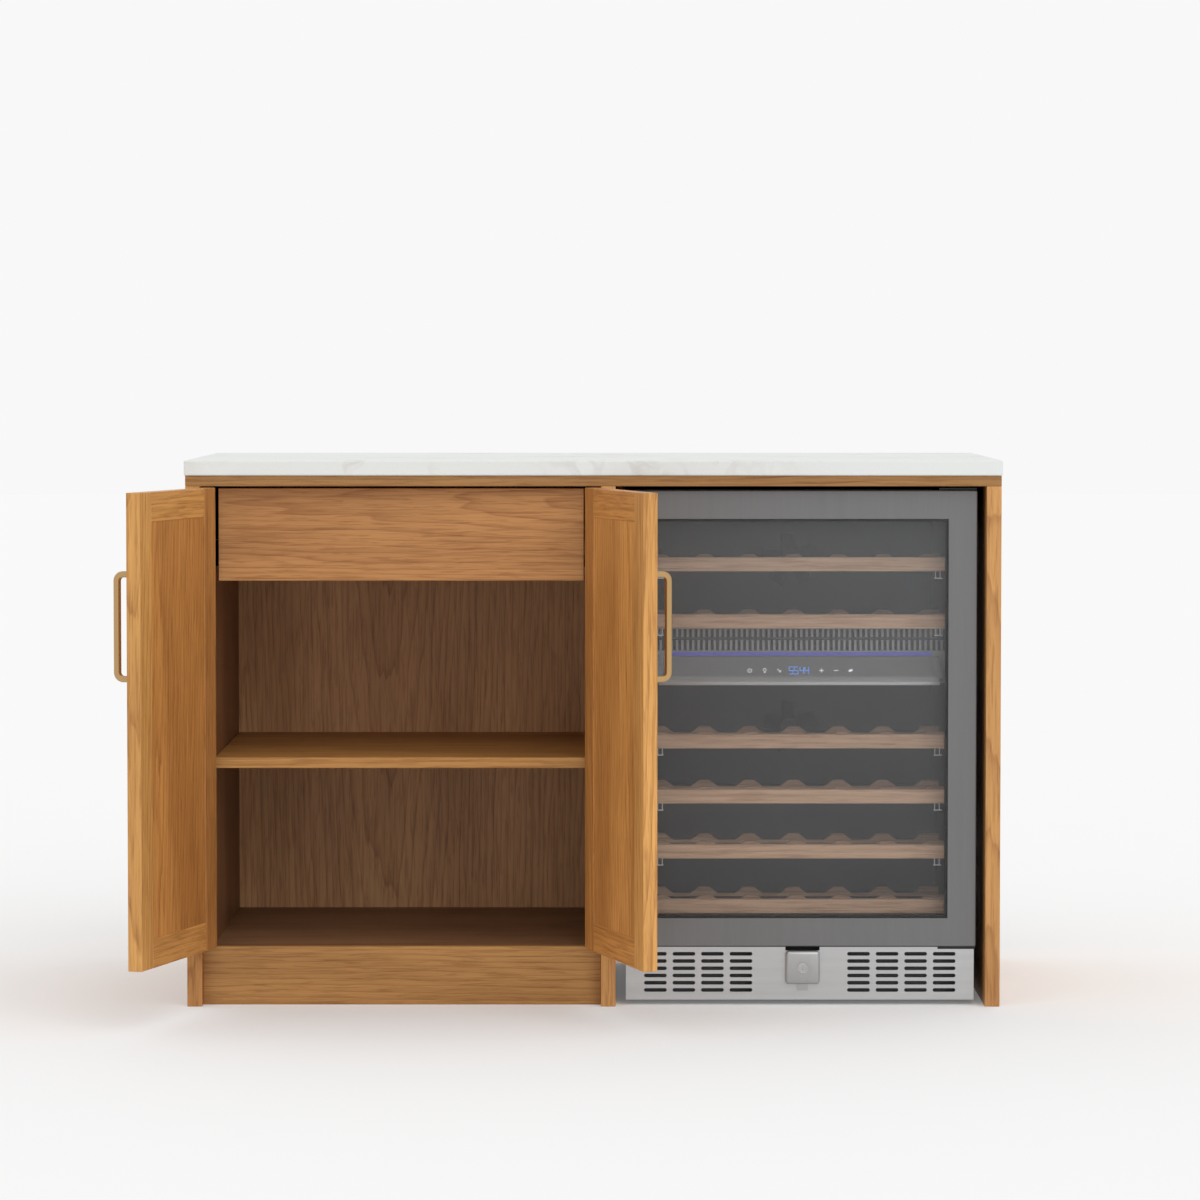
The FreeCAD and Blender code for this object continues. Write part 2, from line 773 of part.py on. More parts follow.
def build_drawer():
    groove_z = (drawer_floor, drawer_floor + s.drawer_bottom_thickness)
    sides_z = (drawer_side_low, drawer_side_high)
    inside_left = drawer_box_left + s.drawer_side_thickness
    inside_right = drawer_box_right - s.drawer_side_thickness
    inside_back = drawer_box_back - s.drawer_side_thickness
    groove_x = (inside_left - s.drawer_groove, inside_right + s.drawer_groove)
    groove_y = (drawer_box_front - s.drawer_groove, inside_back + s.drawer_groove)
    box_depth = (drawer_box_front, drawer_box_back)
    pieces = (
        ("drawer_front", (drawer_front_left, drawer_front_right), (inner_front, drawer_box_front),
         (drawer_front_low, drawer_front_top)),
        ("drawer_left_side", (drawer_box_left, inside_left), box_depth, sides_z),
        ("drawer_right_side", (inside_right, drawer_box_right), box_depth, sides_z),
        ("drawer_back", (inside_left, inside_right), (inside_back, drawer_box_back), sides_z),
    )
    for label, x, y, z in pieces:
        body = board(label, x, y, z)
        box(body, "Subtractive", "bottom_groove", groove_x, groove_y, groove_z)
        node(body)
    play = s.drawer_bottom_float
    bottom_x = (groove_x[0] + play, groove_x[1] - play)
    bottom_y = (groove_y[0] + play, groove_y[1] - play)
    node(square_board("drawer_bottom", bottom_x, bottom_y, groove_z))


def build_channel(label, wall, side, web, flange, height):
    """Make a folded channel; web and flange are (low, high) distances from the cupboard's wall."""
    body = new_body(label)
    low = drawer_side_low + s.slide_lift - height / 2
    high = low + height
    depth = (drawer_box_front, drawer_box_back)
    all_low = min(web[0], flange[0], key=lambda length: length.value)
    all_high = max(web[1], flange[1], key=lambda length: length.value)
    near, far = flip(side, all_low, all_high)
    box(body, "Additive", "blank", (wall + near, wall + far), depth, (low, high))
    web_first = web[0].value <= flange[0].value
    hollow = (web[1], all_high + OVERCUT) if web_first else (all_low - OVERCUT, web[0])
    near, far = flip(side, *hollow)
    end = (depth[0] - OVERCUT, depth[1] + OVERCUT)
    box(body, "Subtractive", "hollow", (wall + near, wall + far), end,
        (low + s.slide_sheet, high - s.slide_sheet))
    return body


def build_slides():
    step = s.slide_sheet + s.slide_play
    middle_height = s.slide_height - step * 2
    inner_height = middle_height - step * 2
    zero = dim(0)
    outer_web = (zero, s.slide_sheet)
    outer_flange = (zero, s.slide_width - step * 2)
    middle_web = (s.slide_standoff, s.slide_standoff + s.slide_sheet)
    middle_flange = (s.slide_standoff, s.slide_width - step)
    inner_web = (s.slide_width - s.slide_sheet, s.slide_width)
    inner_flange = (s.slide_standoff + step, s.slide_width)
    members = (
        ("slide_outer_members", outer_web, outer_flange, s.slide_height),
        ("slide_middle_members", middle_web, middle_flange, middle_height),
        ("slide_inner_members", inner_web, inner_flange, inner_height),
    )
    for label, web, flange, height in members:
        group(label, [
            build_channel("channel_left", liner_left_face, 1, web, flange, height),
            build_channel("channel_right", liner_right_face, -1, web, flange, height),
        ])


# Wine cooler: insulated shell, liner and base

def cooler_profile(grow):
    """Return the side profile of the cavity, grown outwards by a length."""
    wall = s.cooler_wall - grow
    mouth = shell_front - OVERCUT
    low = s.cooler_shell_bottom + wall
    high = cooler_height - wall
    recess_front = bay_front - wall
    recess_top = s.machine_bay_top + wall
    rear = shell_back - s.cooler_back_wall + grow
    return [(mouth, low), (recess_front, low), (recess_front, recess_top),
            (rear, recess_top), (rear, high), (mouth, high)]


def build_cooler_shell():
    body = new_body("cooler_shell")
    outside = sketch_on(body, "YZ_Plane", "side_profile", cooler_middle)
    polygon(outside, [
        (shell_front, s.cooler_shell_bottom),
        (bay_front, s.cooler_shell_bottom),
        (bay_front, s.machine_bay_top),
        (shell_back, s.machine_bay_top),
        (shell_back, cooler_height),
        (shell_front, cooler_height),
    ])
    extrude(body, "Pad", outside, s.cooler_shell_width, "shell", midplane=True)
    inside = sketch_on(body, "YZ_Plane", "cavity_profile", cooler_middle)
    polygon(inside, cooler_profile(dim(0)))
    extrude(body, "Pocket", inside, s.cooler_shell_width - s.cooler_wall * 2, "cavity", midplane=True)
    node(body)


def build_cooler_liner():
    """Make the moulded liner with its rack ledges and the posts of the two fans."""
    body = new_body("cooler_liner")
    outside = sketch_on(body, "YZ_Plane", "outer_profile", cooler_middle)
    profile = cooler_profile(dim(0))
    profile[0] = (shell_front, profile[0][1])
    profile[-1] = (shell_front, profile[-1][1])
    polygon(outside, profile)
    extrude(body, "Pad", outside, s.cooler_shell_width - s.cooler_wall * 2, "tub", midplane=True)
    inside = sketch_on(body, "YZ_Plane", "inner_profile", cooler_middle)
    polygon(inside, cooler_profile(-s.liner_thickness))
    extrude(body, "Pocket", inside, liner_half * 2, "hollow", midplane=True)
    ledge_y = (shell_front + s.ledge_setback, rack_back - s.ledge_back_gap)
    skin = s.liner_thickness / 2
    for level in rack_levels():
        if level is upper_rack_bottom:
            continue
        ledge_z = (level - s.ledge_height, level)
        for side in (1, -1):
            x = flip(side, liner_half - s.ledge_width, liner_half + skin)
            span = (cooler_middle + x[0], cooler_middle + x[1])
            box(body, "Additive", "ledge", span, ledge_y, ledge_z)
    for height in (upper_fan_height, lower_fan_height):
        box(body, "Additive", "fan_post", cooler_span(s.fan_post_half),
            (liner_back - s.fan_post_length, liner_back + skin),
            (height - s.fan_post_half, height + s.fan_post_half))
        shaft = s.fan_gap + s.fan_hub_length
        tip = (cooler_middle, liner_back - s.fan_post_length - shaft, height)
        cylinder(body, "Additive", "fan_shaft", tip, "y", s.fan_shaft_radius, shaft)
    node(body)


def build_cooler_base():
    base = new_body("cooler_base")
    across = cooler_span(base_half)
    box(base, "Additive", "tray", across, (shell_front, shell_back), (base_bottom, s.cooler_shell_bottom))
    inside = cooler_span(base_half - s.base_sheet)
    inside_y = (shell_front + s.base_sheet, shell_back - s.base_sheet)
    box(base, "Subtractive", "hollow", inside, inside_y, (base_floor, s.cooler_shell_bottom + OVERCUT))
    node(base)
    feet = []
    for x in cooler_span(base_half - s.foot_inset):
        for y in (shell_front + s.foot_inset, shell_back - s.foot_inset):
            foot = new_body("foot")
            pad = foot.newObject("PartDesign::AdditivePrism", "pad")
            pad.Polygon = FOOT_SIDES
            bind(pad, "Circumradius", s.foot_radius)
            bind(pad, "Height", base_bottom)
            bind(pad, "Placement.Base.x", x)
            bind(pad, "Placement.Base.y", y)
            feet.append(foot)
    group("cooler_feet", feet)


# Wine cooler: kick plate and lock

def build_kick_plate():
    """Make the folded plate with its two fields of ventilation slots."""
    body = new_body("cooler_kick_plate")
    plate_y = (kick_plate_face, shell_front + s.kick_plate_lap)
    box(body, "Additive", "blank", cooler_span(kick_plate_half), plate_y,
        (s.kick_plate_bottom, kick_plate_top))
    hollow_y = (kick_plate_face + s.kick_plate_sheet, plate_y[1] + OVERCUT)
    hollow_z = (base_bottom, kick_plate_top + OVERCUT)
    box(body, "Subtractive", "fold", cooler_span(base_half), hollow_y, hollow_z)
    notch_x = (pivot_x + s.pivot_side - s.bracket_length - s.bracket_end,
               cooler_middle + kick_plate_half + OVERCUT)
    notch_y = (kick_plate_face - OVERCUT, plate_y[1] + OVERCUT)
    notch_z = (kick_plate_top - s.bracket_thickness - s.bracket_end, kick_plate_top + OVERCUT)
    box(body, "Subtractive", "bracket_notch", notch_x, notch_y, notch_z)
    lock_y = (kick_plate_face - OVERCUT, kick_plate_face + s.kick_plate_sheet + OVERCUT)
    lock_z = (s.lock_bottom + s.lock_height, kick_plate_top + OVERCUT)
    box(body, "Subtractive", "bolt_notch", lock_span(s.lock_width / 2), lock_y, lock_z)
    for side in (-1, 1):
        middle = cooler_middle + (kick_plate_half - s.slot_side_inset) * side
        slot = sketch_on(body, "XZ_Plane", "slot", -kick_plate_face)
        slot_x = (middle - s.slot_length / 2, middle + s.slot_length / 2)
        slot_z = (s.slot_first_height - s.slot_height / 2, s.slot_first_height + s.slot_height / 2)
        rectangle(slot, slot_x, slot_z)
        cut = extrude(body, "Pocket", slot, s.kick_plate_sheet * 3, "slot_cut", midplane=True)
        field = body.newObject("PartDesign::MultiTransform", "slot_field")
        field.Originals = [cut]
        columns = body.newObject("PartDesign::LinearPattern", "columns")
        columns.Direction = (slot, ["H_Axis"])
        columns.Reversed = side > 0
        columns.Occurrences = SLOT_COLUMNS
        bind(columns, "Length", s.slot_pitch_across * (SLOT_COLUMNS - 1))
        rows = body.newObject("PartDesign::LinearPattern", "rows")
        rows.Direction = (slot, ["V_Axis"])
        rows.Occurrences = SLOT_ROWS
        bind(rows, "Length", s.slot_pitch_up * (SLOT_ROWS - 1))
        field.Transformations = [columns, rows]
        body.Tip = field
    node(body)


def build_lock():
    housing = new_body("lock_housing")
    outline = sketch_on(housing, "XZ_Plane", "outline", -kick_plate_face)
    lock_z = (s.lock_bottom, s.lock_bottom + s.lock_height)
    rectangle(outline, lock_span(s.lock_width / 2), lock_z, s.lock_corner)
    extrude(housing, "Pad", outline, s.lock_thickness, "cover")
    tab_y = (kick_plate_face - s.lock_tab_thickness, kick_plate_face)
    tab_z = (s.lock_tab_bottom, s.lock_bottom + s.lock_corner)
    box(housing, "Additive", "tab", lock_span(s.lock_tab_width / 2), tab_y, tab_z)
    lock_face = kick_plate_face - s.lock_thickness
    bore_start = (lock_middle, lock_face - OVERCUT, lock_axis_height)
    bore_length = s.lock_thickness + OVERCUT
    cylinder(housing, "Subtractive", "bore", bore_start, "y",
             s.lock_cylinder_radius + s.lock_fit, bore_length)
    node(housing)
    core = new_body("lock_cylinder")
    start = (lock_middle, lock_face - s.lock_cylinder_proud, lock_axis_height)
    length = s.lock_thickness + s.lock_cylinder_proud
    cylinder(core, "Additive", "plug", start, "y", s.lock_cylinder_radius, length)
    dish = (lock_middle, start[1] - OVERCUT, lock_axis_height)
    cylinder(core, "Subtractive", "dish", dish, "y", s.lock_dish_radius, s.lock_dish_depth + OVERCUT)
    keyway_z = (lock_axis_height - s.keyway_height / 2, lock_axis_height + s.keyway_height / 2)
    keyway_y = (start[1] - OVERCUT, start[1] + s.keyway_depth)
    box(core, "Subtractive", "keyway", lock_span(s.keyway_width / 2), keyway_y, keyway_z)
    node(core)


# Wine cooler: glazed door

def ring(body, name, outside, inside, y):
    """Make a flat rectangular ring; outside and inside are ((x, x), (z, z)) spans."""
    sketch = sketch_on(body, "XZ_Plane", name, -y[0])
    rectangle(sketch, *outside)
    rectangle(sketch, *inside)
    return extrude(body, "Pad", sketch, y[1] - y[0], name + "_ring", reverse=True)


def door_window(inset):
    """Return the spans of a rectangle that lies inset from the outline of the cooler's door."""
    across = cooler_span(cooler_door_width / 2 - inset)
    return (across, (s.cooler_door_bottom + inset, cooler_door_top - inset))


def build_cooler_door():
    frame = new_body("cooler_door_frame")
    blank_x, blank_z = door_window(dim(0))
    blank = box(frame, "Additive", "blank", blank_x, (cooler_face, cooler_door_rear), blank_z)
    ease(frame, blank, s.cooler_frame_edge)
    sight_x, sight_z = door_window(s.cooler_frame_width)
    box(frame, "Subtractive", "sight_opening", sight_x,
        (cooler_face - OVERCUT, cooler_door_rear + OVERCUT), sight_z)
    pane_front = cooler_face + s.pane_lip
    pocket_x, pocket_z = door_window(s.cooler_frame_width - s.pane_lap)
    box(frame, "Subtractive", "glass_pocket", pocket_x, (pane_front, cooler_door_rear + OVERCUT), pocket_z)
    bore = s.pivot_radius + s.pin_fit
    depth = s.pivot_length + s.cooler_door_gap
    for start_z in (s.cooler_door_bottom, cooler_door_top - depth):
        cylinder(frame, "Subtractive", "pivot_bore", (pivot_x, pivot_y, start_z), "z", bore, depth)
    node(frame)

    glass_x, glass_z = door_window(s.cooler_frame_width - s.pane_lap + s.pane_gap)
    spacer_front = pane_front + s.pane_thickness
    spacer_rear = spacer_front + s.pane_spacing
    panes = []
    for start in (pane_front, spacer_rear):
        pane = new_body("pane")
        box(pane, "Additive", "sheet", glass_x, (start, start + s.pane_thickness), glass_z)
        panes.append(pane)
    group("cooler_glass_panes", panes)

    spacer = new_body("glass_spacer")
    inset = s.cooler_frame_width - s.pane_lap + s.pane_gap
    ring(spacer, "spacer", door_window(inset), door_window(inset + s.spacer_width),
         (spacer_front, spacer_rear))
    node(spacer)

    gasket = new_body("cooler_gasket")
    ring(gasket, "gasket", door_window(s.gasket_inset), door_window(s.gasket_inset + s.gasket_width),
         (cooler_door_rear, shell_front - s.gasket_gap))
    node(gasket)

    bar = new_body("cooler_handle")
    bar_x = cooler_middle - cooler_door_width / 2 + s.cooler_frame_width / 2
    bar_y = cooler_face - s.bar_reach
    low = (s.cooler_door_bottom + cooler_door_top) / 2 + s.bar_lift - s.bar_length / 2
    cylinder(bar, "Additive", "tube", (bar_x, bar_y, low), "z", s.bar_radius, s.bar_length)
    for height in (low + s.bar_post_inset, low + s.bar_length - s.bar_post_inset):
        half = s.bar_post_half
        box(bar, "Additive", "post", (bar_x - half, bar_x + half), (bar_y, cooler_face),
            (height - half, height + half))
    node(bar)


def build_cooler_brackets():
    """Make the two pivot brackets of the cooler's door; the top one is also fixed to the board above."""
    side = pivot_x + s.pivot_side
    across = (side - s.bracket_length, side - s.bracket_end)
    near = kick_plate_face + s.bracket_front_setback
    bottom = new_body("bottom_bracket")
    low_z = (kick_plate_top - s.bracket_thickness, kick_plate_top)
    box(bottom, "Additive", "plate", across, (near, shell_front), low_z)
    length = s.pivot_length + s.cooler_door_gap - s.eased_edge
    cylinder(bottom, "Additive", "pin", (pivot_x, pivot_y, kick_plate_top), "z", s.pivot_radius, length)
    top = new_body("top_bracket")
    high_z = (cooler_height, cooler_height + s.bracket_thickness)
    box(top, "Additive", "plate", across, (near, shell_front + s.bracket_on_top), high_z)
    cylinder(top, "Additive", "pin", (pivot_x, pivot_y, cooler_height - length), "z",
             s.pivot_radius, length)
    stay_back = shell_front + s.bracket_on_top
    stay_y = (stay_back - s.stay_depth, stay_back)
    box(top, "Additive", "stay", (across[0], across[0] + s.stay_width), stay_y,
        (cooler_height, s.upright_height))
    group("cooler_hinge_brackets", [bottom, top])


# Wine cooler: racks, zone divider, lighting and control panel

def rack_levels():
    """Return the heights of the racks' undersides, from the lowest up."""
    lower = [lower_rack_bottom + lower_rack_pitch * n for n in range(LOWER_RACKS)]
    upper = [upper_rack_bottom]
    for n in range(1, UPPER_RACKS):
        upper.append(upper_rack_bottom + upper_rack_pitch * n)
    return lower + upper


def build_rack_frame(level):
    """Make a rack's two runners with the notched slats that cradle the bottles."""
    body = new_body("rack_frame")
    half = liner_half - s.rack_side_gap
    rack_front = shell_front + s.rack_front_setback + s.rack_front_thickness
    slat_room = rack_back - rack_front - s.rack_slat_inset * 2 - s.rack_slat_thickness
    slat_pitch = slat_room / (SLATS_PER_RACK - 1)
    for side in (1, -1):
        low, high = flip(side, half - s.rack_rail_width, half)
        span = (cooler_middle + low, cooler_middle + high)
        box(body, "Additive", "runner", span, (rack_front, rack_back), (level, level + s.rack_rail_height))
        if side > 0:
            for n in range(SLATS_PER_RACK):
                slat_front = rack_front + s.rack_slat_inset + slat_pitch * n
                slat_y = (slat_front, slat_front + s.rack_slat_thickness)
                slat_z = (level + s.rack_rail_height / 2, level + s.rack_slat_height)
                box(body, "Additive", "slat", cooler_span(half), slat_y, slat_z)
    bottle_pitch = (half - s.rack_end_margin) * 2 / BOTTLES_ACROSS
    half_top = (bottle_pitch - s.cradle_land) / 2
    half_floor = half_top - s.cradle_slope
    first = cooler_middle - bottle_pitch * (BOTTLES_ACROSS - 1) / 2
    slat_top = level + s.rack_slat_height
    floor = slat_top - s.cradle_depth
    cradle = sketch_on(body, "XZ_Plane", "cradle", -rack_front)
    polygon(cradle, [
        (first - half_floor, floor),
        (first + half_floor, floor),
        (first + half_top, slat_top),
        (first - half_top, slat_top),
    ])
    hollow = extrude(body, "Pocket", cradle, rack_back - rack_front, "cradle_cut")
    repeat(body, hollow, cradle, "H_Axis", bottle_pitch, BOTTLES_ACROSS, "cradles")
    return body


def build_racks():
    half = liner_half - s.rack_side_gap
    near = shell_front + s.rack_front_setback
    fronts = []
    for level in rack_levels():
        z = (level, level + s.rack_front_height)
        fronts.append(board("rack_front", cooler_span(half), (near, near + s.rack_front_thickness), z))
    group("rack_fronts", fronts)
    group("rack_frames", [build_rack_frame(level) for level in rack_levels()])


def build_divider():
    """Make the air duct between the two zones with the finned grille in its front."""
    body = new_body("zone_divider")
    box(body, "Additive", "duct", cooler_span(liner_half), (divider_front, liner_back),
        (divider_bottom, upper_rack_bottom))
    mouth = liner_half - s.grille_side
    mouth_y = (divider_front - OVERCUT, divider_front + s.grille_depth)
    mouth_z = (divider_bottom + s.grille_lift, upper_rack_bottom - s.grille_drop)
    box(body, "Subtractive", "mouth", cooler_span(mouth), mouth_y, mouth_z)
    fin_y = (divider_front, divider_front + s.grille_depth)
    fin_count = int((mouth.value * 2) // s.fin_pitch.value)
    first = cooler_middle - s.fin_pitch * (fin_count - 1) / 2 - s.fin_width / 2
    fin = box(body, "Additive", "fin", (first, first + s.fin_width), fin_y, mouth_z)
    guide = sketch_on(body, "XZ_Plane", "fin_row")
    repeat(body, fin, guide, "H_Axis", s.fin_pitch, fin_count, "fins")
    node(body)


def build_control_panel():
    """Make the sloping control panel with its flared ends and the lip below it."""
    body = new_body("control_panel")
    face = sketch_on(body, "XZ_Plane", "flared_front", -divider_front)
    low, high = divider_bottom, panel_top
    half_bottom = liner_half - s.panel_side_inset
    half_top = half_bottom - s.panel_flare
    polygon(face, [
        (cooler_middle - half_bottom, low),
        (cooler_middle + half_bottom, low),
        (cooler_middle + half_top, high),
        (cooler_middle - half_top, high),
    ])
    extrude(body, "Pad", face, s.panel_reach, "block")
    slope = sketch_on(body, "YZ_Plane", "slope", cooler_middle)
    nose = divider_front - s.panel_reach
    polygon(slope, [
        (nose - OVERCUT, low + s.panel_lip_height),
        (nose, low + s.panel_lip_height),
        (divider_front - s.led_depth, high),
        (divider_front - s.led_depth, high + OVERCUT),
        (nose - OVERCUT, high + OVERCUT),
    ])
    extrude(body, "Pocket", slope, half_bottom * 2 + OVERCUT, "slope_cut", midplane=True)
    node(body)


def build_lights():
    strips = []
    heights = (panel_top + s.led_lift, liner_ceiling - s.led_height)
    for low in heights:
        strip = new_body("led_strip")
        y = (divider_front - s.led_depth, divider_front)
        span = cooler_span(liner_half - s.led_side_inset)
        box(strip, "Additive", "strip", span, y, (low, low + s.led_height))
        strips.append(strip)
    group("led_strips", strips)


# Wine cooler: fans and refrigeration set

def build_fan(label, x, y, z):
    """Make a fan rotor whose hub starts at a point and runs along Y."""
    body = new_body(label)
    hub = body.newObject("PartDesign::AdditivePrism", "hub")
    hub.Placement = FreeCAD.Placement(VECTOR(), ALONG["y"])
    hub.Polygon = FAN_HUB_SIDES
    bind(hub, "Circumradius", s.fan_hub_radius)
    bind(hub, "Height", s.fan_hub_length)
    for letter, place in zip("xyz", (x, y, z)):
        bind(hub, f"Placement.Base.{letter}", place)
    blade = body.newObject("PartDesign::AdditiveBox", "blade")
    tilt = FreeCAD.Rotation(VECTOR(0, 0, 1), FAN_BLADE_TILT)
    blade.Placement = FreeCAD.Placement(VECTOR(), tilt)
    root = s.fan_hub_radius / 2
    bind(blade, "Length", s.fan_blade_width)
    bind(blade, "Width", s.fan_blade_thickness)
    bind(blade, "Height", s.fan_radius - root)
    bind(blade, "Placement.Base.x", x - s.fan_blade_width / 2)
    bind(blade, "Placement.Base.y", y + s.fan_hub_length / 2 - s.fan_blade_width / 4)
    bind(blade, "Placement.Base.z", z + root)
    hub_axis = sketch_on(body, "XZ_Plane", "hub_axis")
    bind(hub_axis, "AttachmentOffset.Base.x", x)
    bind(hub_axis, "AttachmentOffset.Base.y", z)
    wheel = body.newObject("PartDesign::PolarPattern", "blades")
    wheel.Originals = [blade]
    wheel.Axis = (hub_axis, ["N_Axis"])
    wheel.Angle = 360
    wheel.Occurrences = FAN_BLADES
    body.Tip = wheel
    bore = s.fan_shaft_radius + s.fan_fit
    cylinder(body, "Subtractive", "bore", (x, y, z), "y", bore, s.fan_hub_length)
    node(body)


def build_fans():
    hub_start = liner_back - s.fan_post_length - s.fan_gap - s.fan_hub_length
    build_fan("upper_fan", cooler_middle, hub_start, upper_fan_height)
    build_fan("lower_fan", cooler_middle, hub_start, lower_fan_height)


def build_refrigeration():
    """Make the compressor, the finned condenser and its fan, all standing on the base."""
    bay_middle = shell_back - s.machine_bay_depth / 2
    compressor = new_body("compressor")
    profile = sketch_on(compressor, "XZ_Plane", "dome_profile")
    radius = s.compressor_radius
    waist = s.compressor_waist
    height = s.compressor_height
    polygon(profile, [
        (dim(0), dim(0)),
        (radius, dim(0)),
        (radius, height - waist * 2),
        (radius - waist * 2, height),
        (dim(0), height),
    ])
    dome = compressor.newObject("PartDesign::Revolution", "dome")
    dome.Profile = profile
    dome.ReferenceAxis = (profile, ["V_Axis"])
    dome.Angle = 360
    bind(compressor, "Placement.Base.x", cooler_middle - s.compressor_side)
    bind(compressor, "Placement.Base.y", bay_middle)
    bind(compressor, "Placement.Base.z", base_floor)
    node(compressor)

    middle = cooler_middle + s.condenser_side
    core_back = shell_back - s.base_sheet - s.condenser_setback
    core_front = core_back - s.condenser_depth
    condenser = new_body("condenser")
    x = (middle - s.condenser_width / 2, middle + s.condenser_width / 2)
    z = (base_floor, base_floor + s.condenser_height)
    box(condenser, "Additive", "core", x, (core_front, core_back), z)
    frame = s.condenser_frame
    gap = s.condenser_fin_pitch - s.condenser_fin
    count = int((s.condenser_width.value - frame.value * 2) // s.condenser_fin_pitch.value)
    first = middle - s.condenser_fin_pitch * (count - 1) / 2 - gap / 2
    slot_y = (core_front + s.condenser_depth / 2, core_back + OVERCUT)
    slot = box(condenser, "Subtractive", "fin_gap", (first, first + gap), slot_y,
               (z[0] + frame, z[1] - frame))
    guide = sketch_on(condenser, "XZ_Plane", "fin_row")
    repeat(condenser, slot, guide, "H_Axis", s.condenser_fin_pitch, count, "fin_gaps")
    fan_z = base_floor + s.condenser_height / 2
    shaft = s.fan_gap + s.fan_hub_length
    start = (middle, core_front - shaft, fan_z)
    cylinder(condenser, "Additive", "fan_shaft", start, "y", s.fan_shaft_radius, shaft + frame)
    node(condenser)
    build_fan("condenser_fan", middle, core_front - s.fan_gap - s.fan_hub_length, fan_z)


# Build, check and write

def check_document():
    """Stop if an object failed or a finished piece has no sound solid."""
    doc.recompute()
    failed = [item.Label for item in doc.Objects if {"Invalid", "Error"} & set(item.State)]
    if failed:
        raise RuntimeError(f"these objects failed: {failed}")
    for item in NODES:
        if item.Shape.isNull() or not item.Shape.isValid() or not item.Shape.Solids:
            raise RuntimeError(f"{item.Label} has no sound solid")


def write_parts():
    os.makedirs("parts", exist_ok=True)
    for item in NODES:
        item.Shape.exportStep(os.path.join("parts", f"{item.Label}.step"))
    print(f"{len(NODES)} parts written")


build_frame()
build_cupboard_box()
build_doors()
build_drawer()
build_slides()
build_cooler_shell()
build_cooler_liner()
build_cooler_base()
build_kick_plate()
build_lock()
build_cooler_door()
build_cooler_brackets()
build_racks()
build_divider()
build_control_panel()
build_lights()
build_fans()
build_refrigeration()
check_document()
write_parts()
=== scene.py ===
import math

import bmesh
import bpy
from mathutils import Euler, Matrix, Vector


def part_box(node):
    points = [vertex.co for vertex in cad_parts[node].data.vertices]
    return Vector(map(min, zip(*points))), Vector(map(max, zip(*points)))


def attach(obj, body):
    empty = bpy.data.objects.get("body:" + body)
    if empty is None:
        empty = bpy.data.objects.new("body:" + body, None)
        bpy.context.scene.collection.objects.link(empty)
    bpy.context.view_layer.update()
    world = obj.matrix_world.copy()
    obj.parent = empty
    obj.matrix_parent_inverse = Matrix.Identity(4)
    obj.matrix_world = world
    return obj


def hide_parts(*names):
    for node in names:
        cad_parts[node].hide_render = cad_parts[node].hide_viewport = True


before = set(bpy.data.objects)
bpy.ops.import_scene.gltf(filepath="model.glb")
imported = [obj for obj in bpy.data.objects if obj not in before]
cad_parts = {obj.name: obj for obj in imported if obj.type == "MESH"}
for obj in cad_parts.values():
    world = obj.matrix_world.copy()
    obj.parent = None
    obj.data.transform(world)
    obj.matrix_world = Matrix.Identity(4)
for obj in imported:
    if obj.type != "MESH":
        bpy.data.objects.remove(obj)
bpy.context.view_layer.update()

bl_info = {
    "name": "Wine Bar Cabinet",
    "version": (1, 0, 0),
    "blender": (4, 5, 0),
    "location": "View3D > Sidebar > Wine Bar",
    "description": "Dresses the wine bar cabinet with its woods, stone, metals, glass and lights",
    "category": "Object",
}

# The body that the added pieces ride on
CABINET = "cabinet"

# How far the cupboard doors stand open at rest
DOOR_TURN = math.radians(106.7)

# An added piece has a sharp edge where its faces bend by more than this
SHARP_ANGLE = math.radians(35)

# Ways to turn a board's grain to the Z axis of its pattern
GRAIN_UP = (0.0, 0.0, 0.0)
GRAIN_ACROSS = (0.0, math.radians(-90), 0.0)
GRAIN_DEEP = (math.radians(90), 0.0, 0.0)

# Place in the log of a group's first board, in metres and degrees, and the step to the next board
LOG_ACROSS = 0.05
LOG_ACROSS_STEP = -0.021
LOG_BEHIND = 0.055
LOG_BEHIND_STEP = 0.013
LOG_LEAN = 24
LOG_LEAN_STEP = 7
LOG_RISE_STEP = 0.13

# Number of boards after which a step starts again
ACROSS_ROUND = 5
BEHIND_ROUND = 4
LEAN_ROUND = 3

# Tone of a board beside the mean of the veneer: partly the board's own tone, partly painted light and shade,
# with boards under the worktop, set back or inside the cupboard darker, hinge stiles darker than meeting
# stiles and the back panel bluer
BOARD_TONES_AND_SHADE = {
    "sub_top": (0.60, 0.59, 0.58),
    "left_side_panel": (0.85, 0.80, 0.74),
    "left_liner": (0.38, 0.35, 0.45),
    "right_liner": (0.43, 0.39, 0.48),
    "back_panel": (1.02, 1.08, 1.46),
    "bottom_board": (0.40, 0.40, 0.58),
    "adjustable_shelf": (0.78, 0.75, 0.63),
    "toe_kick": (0.71, 0.70, 0.64),
    "drawer_front": (0.82, 0.76, 0.77),
    "left_door_panel": (0.86, 0.73, 0.57),
    "left_door_hinge_stile": (0.78, 0.68, 0.58),
    "left_door_meeting_stile": (1.00, 0.98, 0.84),
    "left_door_top_rail": (0.94, 0.88, 0.74),
    "left_door_bottom_rail": (0.94, 0.88, 0.74),
    "right_door_panel": (1.00, 0.88, 0.70),
    "right_door_hinge_stile": (0.82, 0.69, 0.54),
    "right_door_meeting_stile": (1.02, 0.98, 0.84),
    "right_door_top_rail": (1.00, 0.87, 0.68),
    "right_door_bottom_rail": (1.00, 0.87, 0.68),
}
MEAN_TONE = (1.0, 1.0, 1.0)
